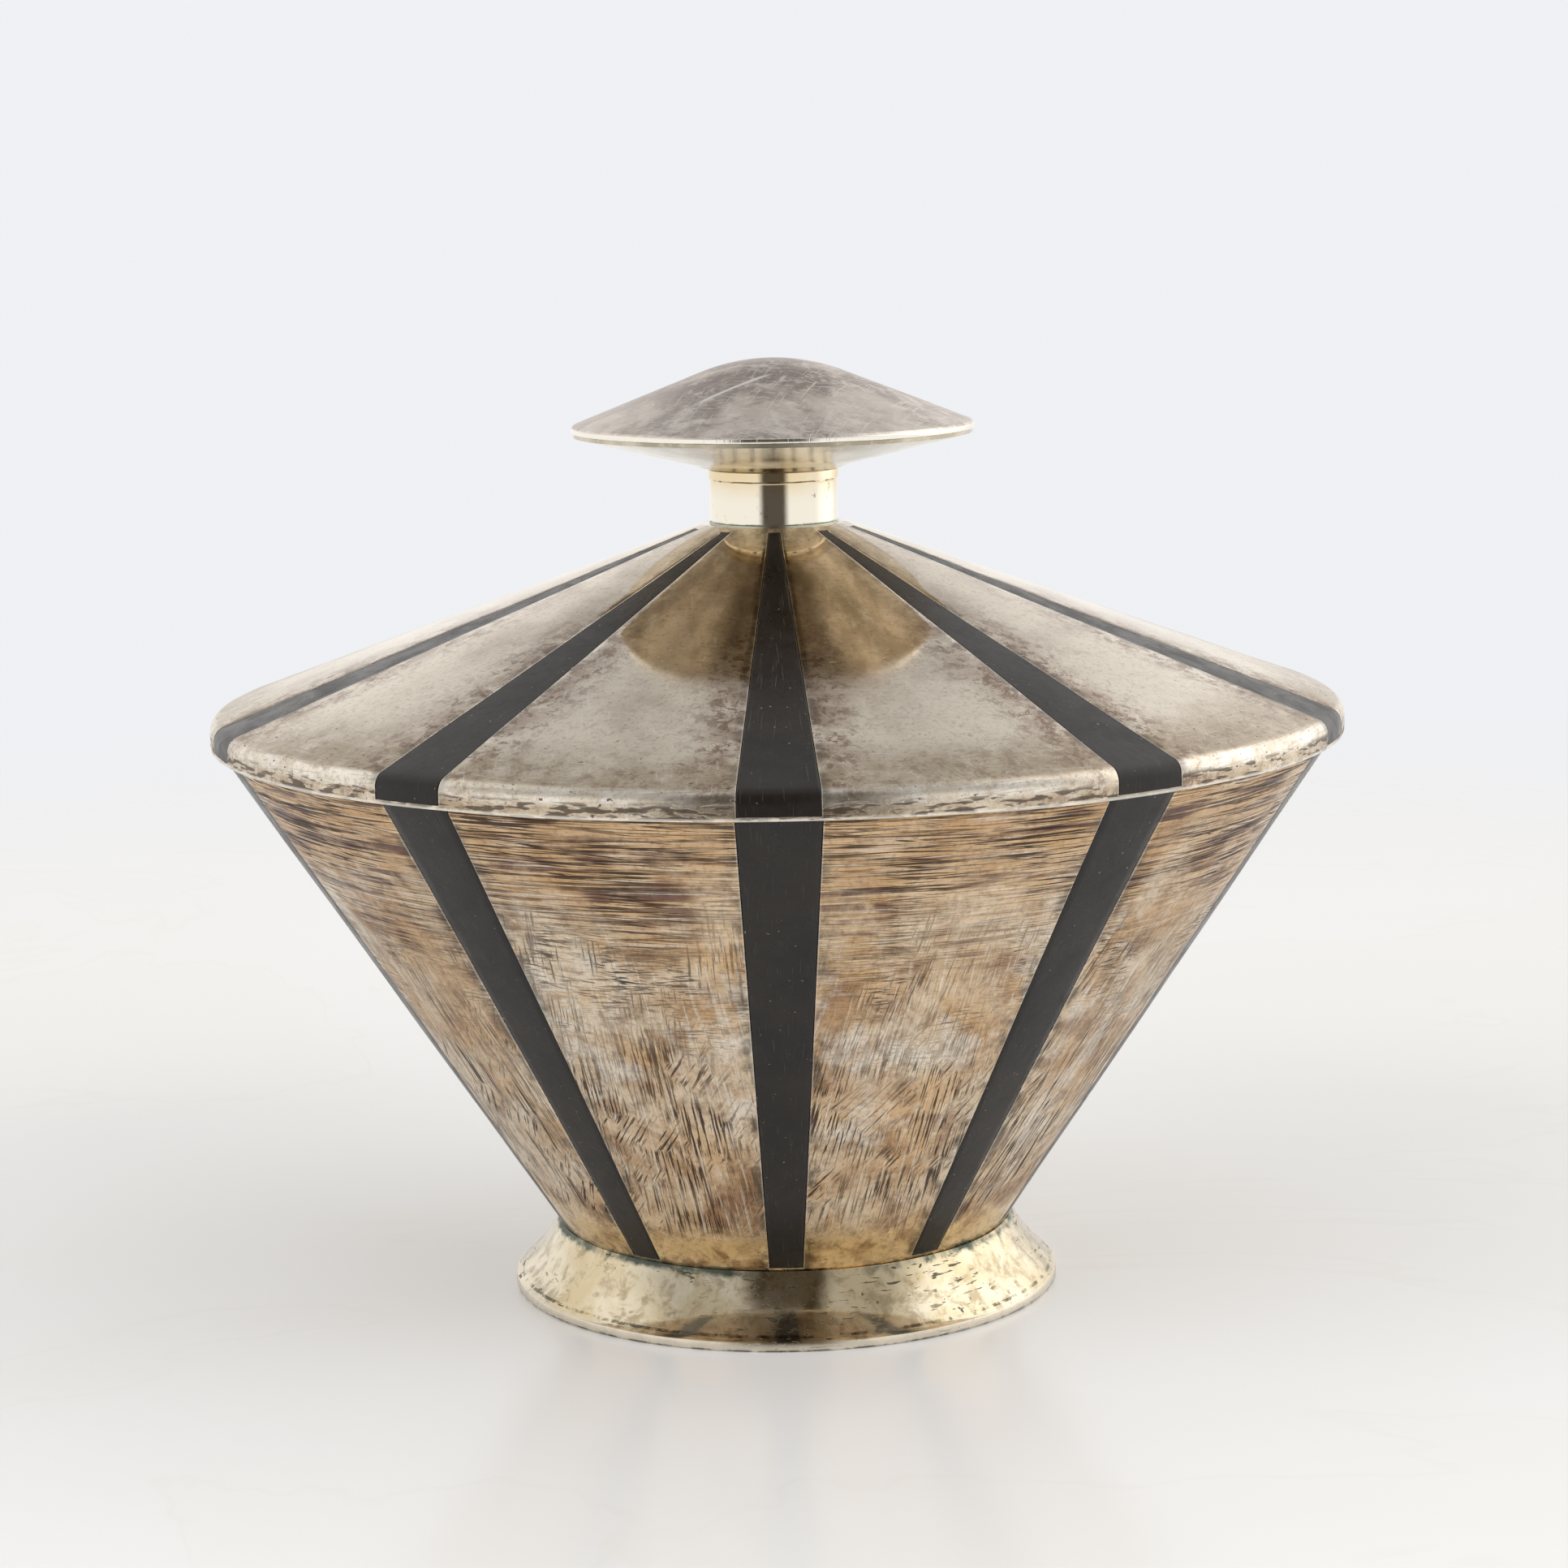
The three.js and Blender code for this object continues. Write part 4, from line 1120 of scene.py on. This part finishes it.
def makeNut(size, box, material):
    # a hexagon whose corners are turned off at top and bottom, with a chamfered hole
    low, high = box[0].z, box[1].z
    hole, flat = size["holeRadius"] - 0.3 * mm, size["acrossFlats"] / 2
    shape = bmesh.new()
    rings = []
    levels = [(hole, low + 0.3 * mm, False), (hole + 0.3 * mm, low, False), (flat, low, False),
              (None, low + 0.35 * mm, True), (None, high - 0.35 * mm, True), (flat, high, False),
              (hole + 0.3 * mm, high, False), (hole, high - 0.3 * mm, False)]
    columns = size["columns"]
    for radius, z, hexagon in levels:
        ring = []
        for i in range(columns):
            angle = 2 * pi * i / columns
            fromFlat = (angle + pi / 6) % (pi / 3) - pi / 6
            reach = flat / cos(pi / 6 - abs(fromFlat)) if hexagon else radius
            ring.append(shape.verts.new((reach * cos(angle), reach * sin(angle), z)))
        rings.append(ring)
    for ring, following in zip(rings, rings[1:] + rings[:1]):
        for i in range(columns):
            j = (i + 1) % columns
            shape.faces.new((ring[i], ring[j], following[j], following[i]))
    mesh = bpy.data.meshes.new("knobNut")
    shape.to_mesh(mesh)
    shape.free()
    finishMesh(mesh, radians(20))
    mesh.materials.append(material)
    piece = bpy.data.objects.new("knobNut", mesh)
    bpy.context.scene.collection.objects.link(piece)
    settle(piece, "lid", "hardware_brass", "knob_nut")


hardware = agedBrass(brassLook)
makeStud(fastening, studBox, hardware)
makeWasher(fastening, washerBox, hardware)
makeNut(fastening, nutBox, hardware)


# studio: pale floor that fades into a pale room, soft lamps, camera

studio = {
    "floorRadius": 0.5, "floorSides": 128, "fadeFrom": 0.20, "fadeTo": 0.46,
    "floorFinish": {"Roughness": 0.22, "Specular IOR Level": 0.4}, "veinSize": 160 * mm,
    "room": (0.868, 0.876, 0.902, 1), "walls": (1.0, 0.985, 0.96, 1), "ceiling": (0.56, 0.56, 0.56, 1),
    "ceilingFrom": 0.20, "ceilingTo": 0.65,
    "roomDark": (0.10, 0.085, 0.07, 1), "darkTurn": (30, 16), "darkRise": (0.97, 0.85),
    # each glow: its direction, outer and inner angle, and light
    "glows": [
        ((-0.72, 0.30, 0.62), 36, 8, (1.05, 1.03, 1.0, 1)),
        ((0.80, 0.34, 0.46), 48, 10, (1.70, 1.68, 1.63, 1)),
    ],
    "stone": (0.765, 0.765, 0.765, 1), "warm": (0.75, 0.735, 0.71, 1), "vein": (0.70, 0.67, 0.63, 1),
    # each lamp: its name, place, target, size and power
    "lamps": [
        ("lampRight", (0.80, -0.60, 0.56), (0, 0, 0.05), 1.1, 8.0),
        ("lampLeft", (-0.80, -0.60, 0.56), (0, 0, 0.05), 1.1, 7.0),
    ],
    "cameraAt": (0, -0.4093, 0.1212), "cameraTo": (0.0006, 0, 0.0539), "lens": 88.86, "roll": -0.93,
    "clipStart": 0.01,
}


def makeFloor(studio):
    material, tree, shader = newMaterial("paleStone", studio["floorFinish"])
    spot = ownSpot(tree)
    x, y, z = parts(tree, spot)
    radius = fromAxis(tree, x, y)
    veins = cloud(tree, spot, studio["veinSize"], 81.0, 5.0, 0.55, 1.6)
    vein = ease(tree, calc(tree, "ABSOLUTE", calc(tree, "SUBTRACT", veins, 0.5)), 0.008, 0.0, 0.0, 0.16)
    color = blend(tree, ease(tree, veins, 0.40, 0.60, 0.0, 0.4), studio["stone"], studio["warm"])
    color = blend(tree, vein, color, studio["vein"])
    tree.links.new(color, shader.inputs["Base Color"])
    clear = tree.nodes.new("ShaderNodeBsdfTransparent")
    fade = addNode(tree, "ShaderNodeMixShader", {0: ease(tree, radius, studio["fadeFrom"], studio["fadeTo"])})
    tree.links.new(shader.outputs[0], fade.inputs[1])
    tree.links.new(clear.outputs[0], fade.inputs[2])
    tree.links.new(fade.outputs[0], tree.nodes["Material Output"].inputs["Surface"])
    shape = bmesh.new()
    bmesh.ops.create_circle(shape, cap_ends=True, segments=studio["floorSides"],
                             radius=studio["floorRadius"])
    mesh = bpy.data.meshes.new("floor")
    shape.to_mesh(mesh)
    shape.free()
    mesh.materials.append(material)
    floor = bpy.data.objects.new("floor", mesh)
    bpy.context.scene.collection.objects.link(floor)


def makeRoom(studio):
    # a pale room, with the dimmer end behind the camera that shows only in reflections
    world = bpy.data.worlds.new("room")
    world.use_nodes = True
    tree = world.node_tree
    x, y, z = parts(tree, addNode(tree, "ShaderNodeTexCoord").outputs["Generated"])
    seen = addNode(tree, "ShaderNodeLightPath").outputs["Is Camera Ray"]
    aside = calc(tree, "ABSOLUTE", calc(tree, "ARCTAN2", x, product(tree, y, -1.0)))
    wide, narrow = [radians(turn) for turn in studio["darkTurn"]]
    towards = product(tree, ease(tree, aside, wide, narrow), ease(tree, z, *studio["darkRise"]))
    overhead = ease(tree, z, studio["ceilingFrom"], studio["ceilingTo"])
    color = blend(tree, overhead, studio["walls"], studio["ceiling"])
    for direction, outer, inner, light in studio["glows"]:
        a, b, c = Vector(direction).normalized()
        near = timesPlus(tree, z, c, timesPlus(tree, y, b, product(tree, x, a)))
        color = blend(tree, ease(tree, near, cos(radians(outer)), cos(radians(inner))), color, light)
    color = blend(tree, towards, color, studio["roomDark"])
    color = blend(tree, seen, color, studio["room"])
    tree.links.new(color, tree.nodes["Background"].inputs["Color"])
    bpy.context.scene.world = world


def makeLamps(studio):
    for name, place, target, size, power in studio["lamps"]:
        data = bpy.data.lights.new(name, "AREA")
        data.shape = "DISK"
        data.size = size
        data.energy = power
        lamp = bpy.data.objects.new(name, data)
        facing = (Vector(target) - Vector(place)).to_track_quat("-Z", "Y")
        lamp.matrix_world = Matrix.LocRotScale(Vector(place), facing, None)
        lamp.visible_glossy = False
        bpy.context.scene.collection.objects.link(lamp)


def makeCamera(studio):
    data = bpy.data.cameras.new("camera")
    data.lens = studio["lens"]
    data.clip_start = studio["clipStart"]
    camera = bpy.data.objects.new("camera", data)
    place, target = Vector(studio["cameraAt"]), Vector(studio["cameraTo"])
    facing = (target - place).to_track_quat("-Z", "Y")
    look = Matrix.LocRotScale(place, facing, None)
    camera.matrix_world = look @ Matrix.Rotation(radians(studio["roll"]), 4, "Z")
    bpy.context.scene.collection.objects.link(camera)
    bpy.context.scene.camera = camera


makeFloor(studio)
makeRoom(studio)
makeLamps(studio)
makeCamera(studio)
bpy.context.scene.view_settings.view_transform = "Standard"
print("studio ready")
